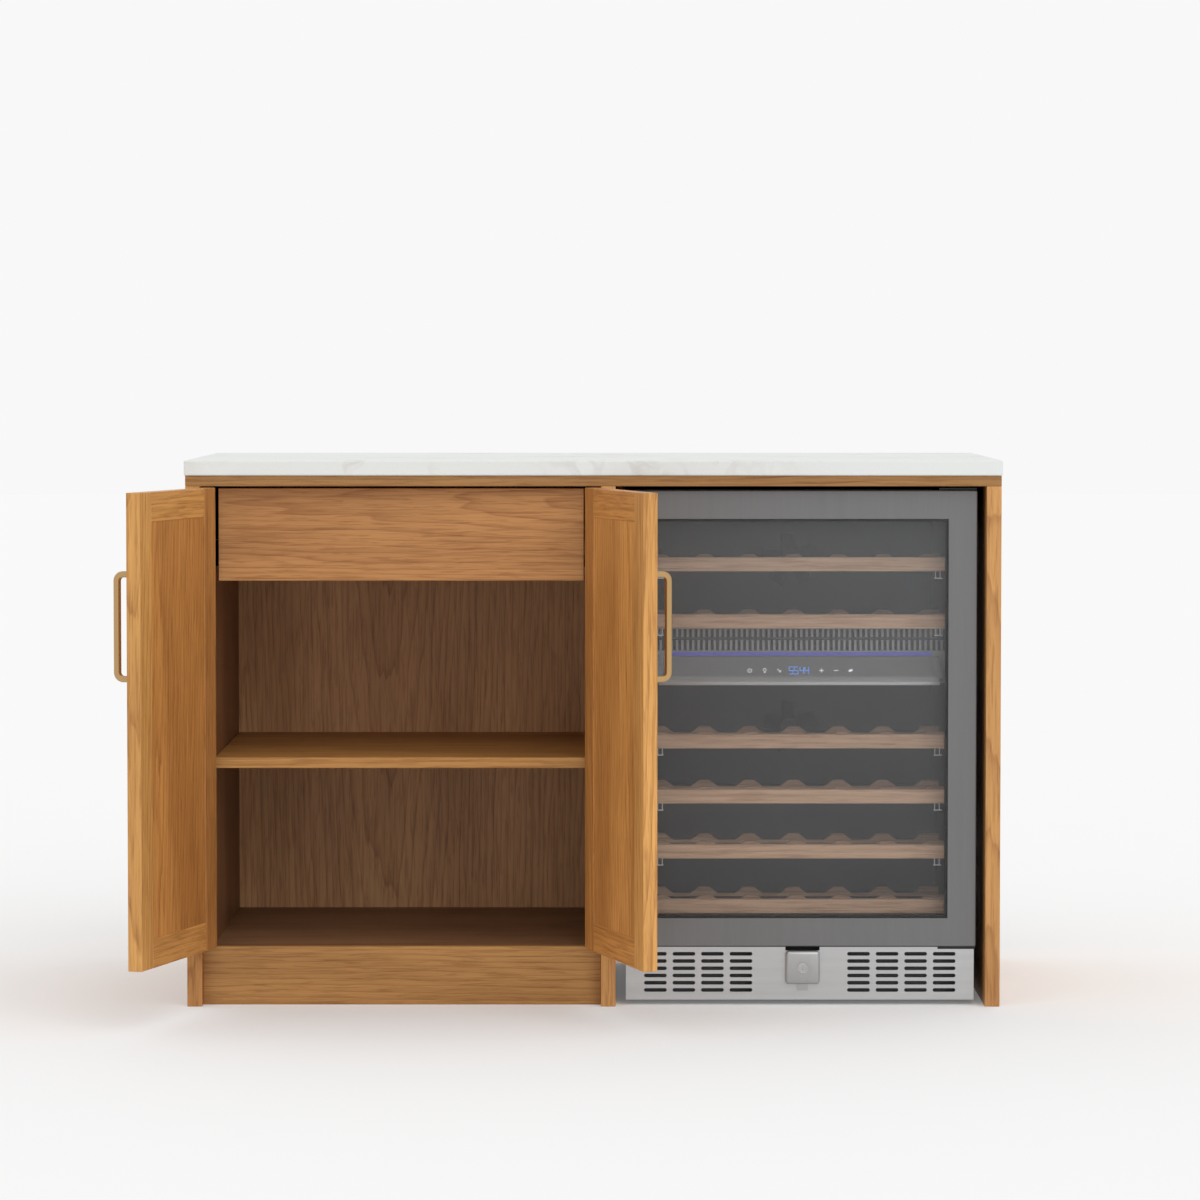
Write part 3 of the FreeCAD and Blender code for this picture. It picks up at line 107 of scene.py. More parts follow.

# Colours of the metals, paints, plastics, rubbers, glass and lit signs that a user would leave as they are,
# and of the painted shade, highlight and reflection marked below
ZINC = (0.55, 0.55, 0.54)
BRONZE = (0.16, 0.10, 0.06)
BLACK_ZINC = (0.060, 0.061, 0.063)
BLACK_PAINT = (0.022, 0.022, 0.024)
GREY_PAINT = (0.090, 0.090, 0.094)
DARK_LINER = (0.068, 0.069, 0.076)
FAN_BLACK = (0.018, 0.018, 0.020)
BARE_FINS = (0.60, 0.60, 0.61)
FOOT_RUBBER = (0.020, 0.020, 0.020)
HANDLE_STEEL = (0.42, 0.42, 0.43)
# Grey of the painted reflection of the studio on the cooler's glass
PAINTED_REFLECTION_GREY = (0.36, 0.37, 0.38)
SPACER_BLACK = (0.015, 0.015, 0.015)
SEAL_RUBBER = (0.018, 0.018, 0.018)
LOCK_STEEL = (0.420, 0.420, 0.418)
LOCK_CHROME = (0.50, 0.50, 0.50)
CLIP_STEEL = (0.60, 0.60, 0.60)
FIN_GREY = (0.270, 0.272, 0.278)
# Painted shade on the fins deep inside the grille
FIN_PAINTED_SHADE = (0.060, 0.061, 0.064)
BAR_BLACK = (0.030, 0.030, 0.033)
PANEL_GREY = (0.102, 0.103, 0.106)
# Painted highlight along the lower edge of the control panel
PANEL_PAINTED_HIGHLIGHT = (0.360, 0.360, 0.362)
PANEL_SILVER = (0.46, 0.46, 0.47)
WING_GREY = (0.150, 0.151, 0.154)
SYMBOL_WHITE = (0.80, 0.82, 0.85)
WHITE = (1.0, 1.0, 1.0)

# Scales that draw out brush lines along an axis
LINES_UP = (1.0, 1.0, 0.1)
LONG_LINES_UP = (1.0, 1.0, 0.04)
BRASS_LINES = (1.0, 1.0, 0.05)
LOCK_LINES = (1.0, 1.0, 0.2)
SLIDE_LINES = (1.0, 0.05, 1.0)
KICK_LINES = (0.03, 1.0, 1.0)
PANEL_LINES = (0.04, 1.0, 1.0)
EVEN_LINES = (1.0, 1.0, 1.0)

# Veneer: how far its rings, clouds, pores and fibres are drawn out along the grain, and how fine they are
RING_STRETCH = 0.09
RING_SCALE = 30.0
CLOUD_STRETCH = 0.10
CLOUD_SCALE = 9.0
PORE_STRETCH = 0.05
PORE_SCALE = 280.0
FIBRE_STRETCH = 0.03
FIBRE_SCALE = 130.0


class WineBarColours(bpy.types.PropertyGroup):
    """Colours that a user would change."""

    wood_light: bpy.props.FloatVectorProperty(
        name="Light Wood", description="Early wood between the grain lines",
        subtype="COLOR", size=3, min=0, max=1, default=(0.700, 0.388, 0.143))
    wood_dark: bpy.props.FloatVectorProperty(
        name="Dark Wood", description="Late wood of the grain lines",
        subtype="COLOR", size=3, min=0, max=1, default=(0.385, 0.170, 0.055))
    rack_light: bpy.props.FloatVectorProperty(
        name="Light Rack Wood", description="Early wood of the rack fronts",
        subtype="COLOR", size=3, min=0, max=1, default=(0.600, 0.420, 0.295))
    rack_dark: bpy.props.FloatVectorProperty(
        name="Dark Rack Wood", description="Late wood of the rack fronts",
        subtype="COLOR", size=3, min=0, max=1, default=(0.420, 0.265, 0.172))
    stone: bpy.props.FloatVectorProperty(
        name="Worktop", description="Ground colour of the stone worktop",
        subtype="COLOR", size=3, min=0, max=1, default=(0.768, 0.788, 0.770))
    vein: bpy.props.FloatVectorProperty(
        name="Veins", description="Colour of the veins in the worktop",
        subtype="COLOR", size=3, min=0, max=1, default=(0.610, 0.585, 0.550))
    brass: bpy.props.FloatVectorProperty(
        name="Brass", description="Satin brass of the door handles",
        subtype="COLOR", size=3, min=0, max=1, default=(0.500, 0.325, 0.150))
    door_steel: bpy.props.FloatVectorProperty(
        name="Cooler Door", description="Dark steel of the cooler's door frame",
        subtype="COLOR", size=3, min=0, max=1, default=(0.172, 0.172, 0.173))
    kick_steel: bpy.props.FloatVectorProperty(
        name="Kick Plate", description="Brushed steel of the slotted plate",
        subtype="COLOR", size=3, min=0, max=1, default=(0.510, 0.510, 0.512))
    glow: bpy.props.FloatVectorProperty(
        name="Cooler Light", description="Colour of the light strips",
        subtype="COLOR", size=3, min=0, max=1, default=(0.090, 0.090, 0.420))
    digits: bpy.props.FloatVectorProperty(
        name="Display", description="Colour of the lit digits",
        subtype="COLOR", size=3, min=0, max=1, default=(0.100, 0.350, 1.000))
    backdrop: bpy.props.FloatVectorProperty(
        name="Backdrop", description="Colour of the studio around the cabinet",
        subtype="COLOR", size=3, min=0, max=1, default=(0.939, 0.939, 0.939))


class WineBarSizes(bpy.types.PropertyGroup):
    """Sizes of the pieces that are added to the frame."""

    slot_length: bpy.props.FloatProperty(
        name="Slot Length", description="Length of the slots in the kick plate",
        unit="LENGTH", default=0.0384)
    slot_height: bpy.props.FloatProperty(
        name="Slot Height", description="Height of the slots in the kick plate",
        unit="LENGTH", default=0.0064)
    slot_pitch_across: bpy.props.FloatProperty(
        name="Slot Pitch Across", description="Distance from slot to slot in a row",
        unit="LENGTH", default=0.0483)
    slot_pitch_up: bpy.props.FloatProperty(
        name="Slot Pitch Up", description="Distance from row to row of slots",
        unit="LENGTH", default=0.0123)
    lock_round: bpy.props.FloatProperty(
        name="Lock Edge", description="Radius of the lock cover's edges",
        unit="LENGTH", default=0.0055)
    screw_radius: bpy.props.FloatProperty(
        name="Screw Head", description="Radius of the screw heads on the kick plate",
        unit="LENGTH", default=0.0045)
    digit_height: bpy.props.FloatProperty(
        name="Digit Height", description="Height of the digits on the display",
        unit="LENGTH", default=0.0130)
    symbol_size: bpy.props.FloatProperty(
        name="Symbol Size", description="Width of the touch symbols",
        unit="LENGTH", default=0.0080)
    stroke: bpy.props.FloatProperty(
        name="Digit Stroke", description="Line width of the digits",
        unit="LENGTH", default=0.0011)
    sign_stroke: bpy.props.FloatProperty(
        name="Symbol Stroke", description="Line width of the touch symbols",
        unit="LENGTH", default=0.0009)
    clip_wire: bpy.props.FloatProperty(
        name="Clip Wire", description="Thickness of the wire clips under the racks",
        unit="LENGTH", default=0.0018)


class Nodes:
    """A node tree with short calls to add and join its nodes."""

    def __init__(self, tree):
        self.tree = tree

    def add(self, kind, **inputs):
        """Add a node; a socket is joined and any other value is set."""
        node = self.tree.nodes.new(kind)
        for key, value in inputs.items():
            self.set(node, key.replace("_", " "), value)
        return node

    def set(self, node, name, value):
        """Join a socket to an input, or set the input to any other value."""
        if isinstance(value, bpy.types.NodeSocket):
            self.tree.links.new(value, node.inputs[name])
        else:
            node.inputs[name].default_value = value

    def math(self, operation, first, second=0.0):
        """Return what an operation makes of one or two numbers."""
        node = self.tree.nodes.new("ShaderNodeMath")
        node.operation = operation
        self.set(node, 0, first)
        self.set(node, 1, second)
        return node.outputs["Value"]

    def mix_shaders(self, factor, first, second):
        """Return two shaders mixed by a factor."""
        node = self.add("ShaderNodeMixShader", Fac=factor)
        self.set(node, 1, first)
        self.set(node, 2, second)
        return node.outputs["Shader"]


class Shader(Nodes):
    """A material with short calls for the patterns of its surface."""

    # Places of the colour sockets among the sockets of a Mix node
    MIX_FACTOR = 0
    MIX_FIRST = 6
    MIX_SECOND = 7
    MIX_RESULT = 2

    def __init__(self, name):
        self.material = bpy.data.materials.new(name)
        self.material.use_nodes = True
        super().__init__(self.material.node_tree)
        self.surface = self.tree.nodes["Principled BSDF"]
        self.place = self.add("ShaderNodeTexCoord").outputs["Object"]

    def put(self, **inputs):
        """Set or join sockets of the surface shader."""
        for key, value in inputs.items():
            self.set(self.surface, key.replace("_", " "), value)

    def turned(self, shift, turn):
        """Return the object's coordinates, turned and shifted."""
        node = self.add("ShaderNodeMapping", Vector=self.place, Location=shift, Rotation=turn)
        return node.outputs["Vector"]

    def scaled(self, vector, scale):
        """Return coordinates stretched by a scale."""
        return self.add("ShaderNodeMapping", Vector=vector, Scale=scale).outputs["Vector"]

    def along(self, axis):
        """Return one of the object's coordinates."""
        return self.add("ShaderNodeSeparateXYZ", Vector=self.place).outputs[axis]

    def noise(self, vector, scale, detail=2.0, roughness=0.5, distortion=0.0):
        """Return a cloudy factor."""
        node = self.add("ShaderNodeTexNoise", Vector=vector, Scale=scale, Detail=detail,
                        Roughness=roughness, Distortion=distortion)
        return node.outputs["Fac"]

    def ramp(self, factor, *stops):
        """Return a colour from stops of (place, colour)."""
        node = self.add("ShaderNodeValToRGB", Fac=factor)
        elements = node.color_ramp.elements
        while len(elements) < len(stops):
            elements.new(0.5)
        for element, (place, colour) in zip(elements, stops):
            element.position = place
            element.color = (*colour, 1.0)
        return node.outputs["Color"]

    def level(self, factor, low, high, start=0.0, end=1.0):
        """Return a factor that goes from low to high as the given one goes from start to end."""
        node = self.add("ShaderNodeMapRange", Value=factor, From_Min=start, From_Max=end,
                        To_Min=low, To_Max=high)
        return node.outputs["Result"]

    def mix(self, factor, first, second, blend="MIX"):
        """Return two colours mixed by a factor."""
        node = self.tree.nodes.new("ShaderNodeMix")
        node.data_type = "RGBA"
        node.blend_type = blend
        self.set(node, self.MIX_FACTOR, factor)
        self.set(node, self.MIX_FIRST, first)
        self.set(node, self.MIX_SECOND, second)
        return node.outputs[self.MIX_RESULT]

    def bump(self, height, strength, distance):
        """Give the surface a fine relief."""
        node = self.add("ShaderNodeBump", Height=height, Strength=strength, Distance=distance)
        self.put(Normal=node.outputs["Normal"])


# Finishes

def wood(name, turn, centre, cut, light, dark, roughness=0.45):
    """Veneer sliced from a log.

    turn brings the grain to Z, centre is put at the pattern's origin, and cut is the place of the
    board in the log: across and behind the heart, and the angle at which the log leans through it.
    """
    shader = Shader(name)
    across, behind, lean = cut
    start = Vector((across, behind, 0.0)) - Euler(turn).to_matrix() @ centre
    grain = shader.turned(start, turn)
    log = shader.add("ShaderNodeMapping", Vector=grain, Scale=(1.0, 1.0, RING_STRETCH),
                     Rotation=(lean, 0.0, 0.0))
    wave = shader.add("ShaderNodeTexWave", Vector=log.outputs["Vector"], Scale=RING_SCALE, Distortion=7.5,
                      Detail=2.0, Detail_Scale=0.9, Detail_Roughness=0.55)
    wave.wave_type = "RINGS"
    wave.rings_direction = "Z"
    wave.wave_profile = "SAW"
    middle = tuple((a * 2 + b) / 3 for a, b in zip(light, dark))
    rings = shader.ramp(wave.outputs["Fac"], (0.0, light), (0.45, light), (0.80, middle), (0.95, dark),
                        (1.0, light))
    broad = shader.noise(shader.scaled(grain, (1.0, 1.0, CLOUD_STRETCH)), CLOUD_SCALE, detail=3.0)
    even = shader.ramp(broad, (0.30, middle), (0.62, light))
    figure = shader.mix(shader.level(broad, 0.35, 0.75), even, rings)
    tone = shader.ramp(broad, (0.28, (0.80, 0.75, 0.70)), (0.72, (1.08, 1.06, 1.03)))
    tinted = shader.mix(1.0, figure, tone, "MULTIPLY")
    pores = shader.noise(shader.scaled(grain, (1.0, 1.0, PORE_STRETCH)), PORE_SCALE, detail=3.0,
                         roughness=0.6, distortion=0.5)
    streaks = shader.ramp(pores, (0.36, (0.70, 0.63, 0.57)), (0.52, WHITE))
    fibres = shader.noise(shader.scaled(grain, (1.0, 1.0, FIBRE_STRETCH)), FIBRE_SCALE, detail=4.0,
                          roughness=0.65)
    brushed = shader.ramp(fibres, (0.30, (0.86, 0.82, 0.78)), (0.70, (1.06, 1.05, 1.04)))
    porous = shader.mix(0.8, tinted, streaks, "MULTIPLY")
    shader.put(Base_Color=shader.mix(1.0, porous, brushed, "MULTIPLY"))
    shader.put(Roughness=shader.level(fibres, roughness - 0.07, roughness + 0.10))
    shader.put(Specular_IOR_Level=0.3)
    shader.bump(pores, strength=0.12, distance=0.0004)
    return shader.material


def quartz(colours):
    """Polished pale stone with faint wandering veins."""
    shader = Shader("quartz")
    drift = shader.noise(shader.place, scale=2.2, detail=4.0, roughness=0.6)
    bent = shader.add("ShaderNodeVectorMath", Vector=shader.place)
    bent.operation = "ADD"
    shader.set(bent, 1, drift)
    flow = shader.noise(shader.scaled(bent.outputs["Vector"], (1.0, 1.7, 1.4)), scale=2.4, detail=6.0,
                        roughness=0.58, distortion=0.6)
    distance = shader.math("ABSOLUTE", shader.math("SUBTRACT", flow, 0.5))
    veins = shader.ramp(distance, (0.0, colours.vein), (0.045, colours.stone), (1.0, colours.stone))
    cloud = shader.noise(shader.place, scale=4.0, detail=3.0)
    faint = shader.ramp(cloud, (0.45, (0.0, 0.0, 0.0)), (0.72, (0.8, 0.8, 0.8)))
    body = shader.mix(faint, (*colours.stone, 1.0), veins)
    speck = shader.noise(shader.place, scale=320.0)
    specks = shader.ramp(speck, (0.3, (0.975, 0.975, 0.975)), (0.7, WHITE))
    shader.put(Base_Color=shader.mix(1.0, body, specks, "MULTIPLY"))
    shader.put(Roughness=shader.level(cloud, 0.38, 0.48))
    shader.put(Specular_IOR_Level=0.25)
    return shader.material


def brushed_metal(name, colour, roughness, along, metallic=1.0, contrast=0.10):
    """Metal with fine brush lines; along stretches the lines in object space."""
    shader = Shader(name)
    lines = shader.noise(shader.scaled(shader.place, along), scale=60.0, detail=4.0, roughness=0.7)
    cloud = shader.noise(shader.place, scale=6.0, detail=3.0)
    low = tuple(c * (1 - contrast) for c in colour)
    high = tuple(min(1.0, c * (1 + contrast)) for c in colour)
    shader.put(Base_Color=shader.ramp(lines, (0.30, low), (0.70, high)))
    brushed = shader.level(lines, roughness - 0.06, roughness + 0.06)
    shader.put(Roughness=shader.math("ADD", brushed, shader.level(cloud, -0.04, 0.04)))
    shader.put(Metallic=metallic)
    shader.bump(lines, strength=0.04, distance=0.0002)
    return shader.material


def plain_plastic(name, colour, roughness, grain=900.0, relief=0.05):
    """Moulded plastic or paint with a fine texture."""
    shader = Shader(name)
    speckle = shader.noise(shader.place, scale=grain)
    smear = shader.noise(shader.place, scale=9.0, detail=3.0)
    low = tuple(c * 0.9 for c in colour)
    shader.put(Base_Color=shader.ramp(smear, (0.35, low), (0.65, colour)))
    shader.put(Roughness=shader.level(smear, roughness - 0.05, roughness + 0.06))
    shader.bump(speckle, strength=relief, distance=0.0002)
    return shader.material


def graded_plastic(name, axis, start, end, first, last, roughness):
    """Satin plastic whose colour goes from first to last along an axis of the object."""
    shader = Shader(name)
    way = shader.level(shader.along(axis), 0.0, 1.0, start, end)
    smear = shader.noise(shader.place, scale=9.0, detail=3.0)
    worn = shader.ramp(smear, (0.35, (0.92, 0.92, 0.92)), (0.65, WHITE))
    shader.put(Base_Color=shader.mix(1.0, shader.ramp(way, (0.0, first), (1.0, last)), worn, "MULTIPLY"))
    shader.put(Roughness=shader.level(smear, roughness - 0.05, roughness + 0.06))
    return shader.material


def glass_with_painted_reflection(name, colour, low, high, reflection_share, roughness):
    """Clear glass with a painted reflection of the bright studio, a grey veil that grows from the height low
    to the height high.
    """
    shader = Shader(name)
    thin, thick = reflection_share
    rise = shader.level(shader.along("Z"), thin, thick, low, high)
    cloud = shader.noise(shader.place, scale=1.5)
    shader.put(Base_Color=(*colour, 1.0), Roughness=roughness)
    shader.put(Alpha=shader.math("MULTIPLY", rise, shader.level(cloud, 0.92, 1.08)))
    return shader.material


def lit(name, colour, strength):
    """A lit diffuser or sign."""
    shader = Shader(name)
    flicker = shader.noise(shader.place, scale=40.0)
    dim = tuple(c * 0.85 for c in colour)
    shader.put(Base_Color=(*colour, 1.0), Roughness=0.4)
    shader.put(Emission_Color=shader.ramp(flicker, (0.35, dim), (0.65, colour)))
    shader.put(Emission_Strength=strength)
    return shader.material


# Helpers for pieces

def dress(names, material):
    """Give CAD nodes a material."""
    for name in names:
        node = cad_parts[name]
        node.data.materials.clear()
        node.data.materials.append(material)


def piece(name, shape, body, material, replaced=()):
    """Turn a bmesh to a finished piece that rides on a body."""
    bmesh.ops.recalc_face_normals(shape, faces=shape.faces)
    mesh = bpy.data.meshes.new(name)
    shape.to_mesh(mesh)
    shape.free()
    made = bpy.data.objects.new(name, mesh)
    bpy.context.scene.collection.objects.link(made)
    mesh.materials.append(material)
    mesh.shade_smooth()
    mesh.set_sharp_from_angle(angle=SHARP_ANGLE)
    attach(made, body)
    if replaced:
        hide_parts(*replaced)


def block(shape, low, high):
    """Add a block between two corners and return its vertices."""
    low, high = Vector(low), Vector(high)
    size = high - low
    place = Matrix.Translation((low + high) / 2) @ Matrix.Diagonal((*size, 1.0))
    return bmesh.ops.create_cube(shape, size=1.0, matrix=place)["verts"]


def soften(shape, edges, radius, segments):
    """Round edges off."""
    bmesh.ops.bevel(shape, geom=edges, offset=radius, affect="EDGES", segments=segments,
                    profile=0.5, material=-1)


def rod(shape, start, end, radius, sides):
    """Add a closed rod between two points."""
    start, end = Vector(start), Vector(end)
    turn = (end - start).to_track_quat("Z", "Y").to_matrix().to_4x4()
    place = Matrix.Translation((start + end) / 2) @ turn
    bmesh.ops.create_cone(shape, cap_ends=True, segments=sides, radius1=radius, radius2=radius,
                          depth=(end - start).length, matrix=place)


def box_of(name):
    """Return the two corners of a CAD node's box."""
    low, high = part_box(name)
    return Vector(low), Vector(high)


class WineBarOperator(bpy.types.Operator):
    """Shared ground of the operators that dress the cabinet."""

    bl_options = {"REGISTER", "UNDO"}

    @property
    def colours(self):
        return bpy.context.scene.wine_bar_colours

    @property
    def sizes(self):
        return bpy.context.scene.wine_bar_sizes

    def boards(self, grain):
        """Give each board its own stretch of veneer."""
        for number, (name, turn) in enumerate(grain.items()):
            # The tone changes the board's veneer by painted shade and light as well as by its own tone
            tone = BOARD_TONES_AND_SHADE.get(name, MEAN_TONE)
            light = tuple(c * t for c, t in zip(self.colours.wood_light, tone))
            dark = tuple(c * t for c, t in zip(self.colours.wood_dark, tone))
            low, high = box_of(name)
            centre = (low + high) / 2 + Vector((0.0, 0.0, LOG_RISE_STEP * number))
            cut = (
                LOG_ACROSS + LOG_ACROSS_STEP * (number % ACROSS_ROUND),
                LOG_BEHIND + LOG_BEHIND_STEP * (number % BEHIND_ROUND),
                math.radians(LOG_LEAN + LOG_LEAN_STEP * (number % LEAN_ROUND)),
            )
            dress([name], wood(f"wood_{name}", turn, centre, cut, light, dark))


class WINEBAR_OT_worktop(WineBarOperator):
    """Dress the stone worktop"""

    bl_idname = "wine_bar.worktop"
    bl_label = "Worktop"

    def execute(self, context):
        dress(["countertop_slab"], quartz(self.colours))
        return {"FINISHED"}


class WINEBAR_OT_carcass(WineBarOperator):
    """Dress the frame and the cupboard box in veneer"""

    bl_idname = "wine_bar.carcass"
    bl_label = "Carcass"

    def execute(self, context):
        upright = ["left_side_panel", "middle_partition", "right_side_panel", "left_liner", "right_liner",
                   "back_panel"]
        level = ["sub_top", "rear_rails", "toe_kick", "bottom_board", "adjustable_shelf"]
        grain = {name: GRAIN_UP for name in upright}
        grain.update({name: GRAIN_ACROSS for name in level})
        self.boards(grain)
        dress(["hinge_frame_leaves"], brushed_metal("zinc_plate", ZINC, roughness=0.38, along=LINES_UP))
        dress(["shelf_supports"], brushed_metal("bronzed_plate", BRONZE, roughness=0.45, along=LINES_UP))
        return {"FINISHED"}


class WINEBAR_OT_doors(WineBarOperator):
    """Dress the two shaker doors with their handles and hinge leaves"""

    bl_idname = "wine_bar.doors"
    bl_label = "Cupboard Doors"

    def execute(self, context):
        grain = {}
        for side, turn in (("left", DOOR_TURN), ("right", -DOOR_TURN)):
            for upright in ("hinge_stile", "meeting_stile", "panel"):
                grain[f"{side}_door_{upright}"] = GRAIN_UP
            for level in ("top_rail", "bottom_rail"):
                across = Matrix.Rotation(math.radians(-90), 3, "Y") @ Matrix.Rotation(turn, 3, "Z")
                grain[f"{side}_door_{level}"] = tuple(across.to_euler())
        self.boards(grain)
        brass = brushed_metal("satin_brass", tuple(self.colours.brass), roughness=0.34, along=BRASS_LINES,
                              contrast=0.06)
        dress(["left_door_handle", "right_door_handle"], brass)
        steel = brushed_metal("hinge_steel", ZINC, roughness=0.36, along=LINES_UP)
        dress(["left_door_hinge_leaves", "right_door_hinge_leaves"], steel)
        return {"FINISHED"}


class WINEBAR_OT_drawer(WineBarOperator):
    """Dress the drawer and its slides"""

    bl_idname = "wine_bar.drawer"
    bl_label = "Drawer"

    def execute(self, context):
        self.boards({
            "drawer_front": GRAIN_ACROSS, "drawer_back": GRAIN_ACROSS, "drawer_bottom": GRAIN_ACROSS,
            "drawer_left_side": GRAIN_DEEP, "drawer_right_side": GRAIN_DEEP,
        })
        steel = brushed_metal("black_zinc", BLACK_ZINC, roughness=0.40, along=SLIDE_LINES)
        dress(["slide_outer_members", "slide_middle_members", "slide_inner_members"], steel)
        return {"FINISHED"}


class WINEBAR_OT_cooler_body(WineBarOperator):
    """Dress the cooler's shell, liner, base and refrigeration set"""

    bl_idname = "wine_bar.cooler_body"
    bl_label = "Cooler Body"

    def execute(self, context):
        paint = plain_plastic("black_paint", BLACK_PAINT, roughness=0.5)
        dress(["cooler_shell", "cooler_hinge_brackets"], paint)
        dress(["cooler_base"], plain_plastic("grey_paint", GREY_PAINT, roughness=0.5))
        dress(["cooler_liner"], plain_plastic("dark_liner", DARK_LINER, roughness=0.55, relief=0.0))
        black = plain_plastic("fan_black", FAN_BLACK, roughness=0.42)
        dress(["upper_fan", "lower_fan", "condenser_fan", "compressor"], black)
        dress(["condenser"], brushed_metal("bare_fins", BARE_FINS, roughness=0.40, along=LINES_UP))
        dress(["cooler_feet"], plain_plastic("foot_rubber", FOOT_RUBBER, roughness=0.75, grain=500.0))
        return {"FINISHED"}


class WINEBAR_OT_cooler_door(WineBarOperator):
    """Dress the cooler's glazed door"""

    bl_idname = "wine_bar.cooler_door"
    bl_label = "Cooler Door"

    # Share of the painted reflection on the panes at their foot and at their top
    PAINTED_REFLECTION_SHARE = (0.042, 0.085)

    def execute(self, context):
        steel = brushed_metal("dark_steel", tuple(self.colours.door_steel), roughness=0.46,
                              along=LONG_LINES_UP, metallic=0.35, contrast=0.05)
        dress(["cooler_door_frame"], steel)
        dress(["cooler_handle"],
              brushed_metal("handle_steel", HANDLE_STEEL, roughness=0.34, along=LONG_LINES_UP))
        low, high = box_of("cooler_glass_panes")
        # The panes carry a painted reflection of the studio that grows towards their top
        glass = glass_with_painted_reflection("glass_with_painted_reflection", PAINTED_REFLECTION_GREY, low.z, high.z, self.PAINTED_REFLECTION_SHARE, roughness=0.12)
        dress(["cooler_glass_panes"], glass)
        dress(["glass_spacer"], plain_plastic("spacer_black", SPACER_BLACK, roughness=0.5))
        dress(["cooler_gasket"], plain_plastic("seal_rubber", SEAL_RUBBER, roughness=0.7, grain=600.0))
        return {"FINISHED"}


class WINEBAR_OT_kick_plate(WineBarOperator):
    """Model the slotted plate and the rounded lock cover, and add the screws"""

    bl_idname = "wine_bar.kick_plate"
    bl_label = "Kick Plate and Lock"

    SHEET = 0.0015
    COLUMNS = 4
    ROWS = 6
    FIRST_ROW = 0.0254
    SLOT_INSET = 0.0501
    SLOT_SIDES = 16
    WELD = 0.00001
    BRACKET_NOTCH_LENGTH = 0.0615
    BRACKET_NOTCH_DEPTH = 0.0035
    COVER_STEPS = 4
    BORE_CUTS = 7
    BORE_CLEARANCE = 0.0001
    TAB_HEIGHT = 0.0114
    TAB_WIDTH = 0.0186
    TAB_SHEET = 0.002
    SCREW_INSET = 0.018
    SCREW_HEIGHT = 0.0576
    SCREW_PROUD = 0.0008
    SCREW_SIDES = 24

    def execute(self, context):
        steel = brushed_metal("kick_steel", tuple(self.colours.kick_steel), roughness=0.40, along=KICK_LINES,
                              metallic=0.75, contrast=0.05)
        self.add_plate(steel)
        self.add_lock_cover(brushed_metal("lock_steel", LOCK_STEEL, roughness=0.36, along=LOCK_LINES,
                                          metallic=0.75, contrast=0.04))
        dress(["lock_cylinder"], brushed_metal("lock_chrome", LOCK_CHROME, roughness=0.26, along=EVEN_LINES))
        self.add_screws(steel)
        return {"FINISHED"}

    def add_plate(self, steel):
        """Model the folded plate as one tray, with its two notches and two fields of slots."""
        low, high = box_of("cooler_kick_plate")
        lock_low, lock_high = box_of("lock_housing")
        left, right, bottom = low.x + self.SHEET, high.x - self.SHEET, low.z + self.SHEET
        notch_x, notch_z = high.x - self.BRACKET_NOTCH_LENGTH, high.z - self.BRACKET_NOTCH_DEPTH
        plate = bmesh.new()
        self.outline(plate, low.y, (
            (left, high.z), (left, bottom), (right, bottom), (right, notch_z),
            (notch_x, notch_z), (notch_x, high.z),
            (lock_high.x, high.z), (lock_high.x, lock_high.z),
            (lock_low.x, lock_high.z), (lock_low.x, high.z),
        ))
        middle = (low.x + high.x) / 2
        first = (high.x - low.x) / 2 - self.SLOT_INSET
        for side in (-1, 1):
            for column in range(self.COLUMNS):
                x = middle + side * (first - self.sizes.slot_pitch_across * column)
                for row in range(self.ROWS):
                    height = self.FIRST_ROW + self.sizes.slot_pitch_up * row
                    self.outline_slot(plate, Vector((x, low.y, height)))
        bmesh.ops.triangle_fill(plate, use_beauty=True, edges=plate.edges[:])
        folds = self.outline(plate, low.y, (
            (low.x, high.z), (low.x, low.z), (high.x, low.z), (high.x, notch_z),
            (right, notch_z), (right, bottom), (left, bottom), (left, high.z),
        ))
        bmesh.ops.contextual_create(plate, geom=folds)
        bmesh.ops.remove_doubles(plate, verts=plate.verts[:], dist=self.WELD)
        thick = bmesh.ops.extrude_face_region(plate, geom=plate.faces[:], use_keep_orig=True)["geom"]
        rear = [item for item in thick if isinstance(item, bmesh.types.BMVert)]
        bmesh.ops.translate(plate, vec=(0.0, self.SHEET, 0.0), verts=rear)
        backs = [item for item in thick if isinstance(item, bmesh.types.BMFace)]
        rim = [item for item in backs if len(item.verts) == len(folds)]
        walls = bmesh.ops.extrude_discrete_faces(plate, faces=rim)["faces"][0]
        bmesh.ops.translate(plate, vec=(0.0, high.y - low.y - self.SHEET, 0.0), verts=walls.verts)
        piece("slotted_plate", plate, CABINET, steel, ["cooler_kick_plate"])

    def outline(self, plate, face, corners):
        """Draw a closed outline on the face of the plate and return its edges."""
        points = [bmesh.ops.create_vert(plate, co=(x, face, z))["vert"][0] for x, z in corners]
        edges = []
        for pair in zip(points, points[1:] + points[:1]):
            edges += bmesh.ops.contextual_create(plate, geom=pair)["edges"]
        return edges

    def outline_slot(self, plate, centre):
        """Draw the outline of a slot: a circle whose halves are moved apart."""
        radius = self.sizes.slot_height / 2
        straight = self.sizes.slot_length / 2 - radius
        turn = Matrix.Rotation(math.radians(90), 4, "X") @ Matrix.Rotation(math.pi / self.SLOT_SIDES, 4, "Z")
        rim = bmesh.ops.create_circle(plate, cap_ends=False, segments=self.SLOT_SIDES, radius=radius,
                                      matrix=Matrix.Translation(centre) @ turn)
        for vertex in rim["verts"]:
            vertex.co.x += math.copysign(straight, vertex.co.x - centre.x)

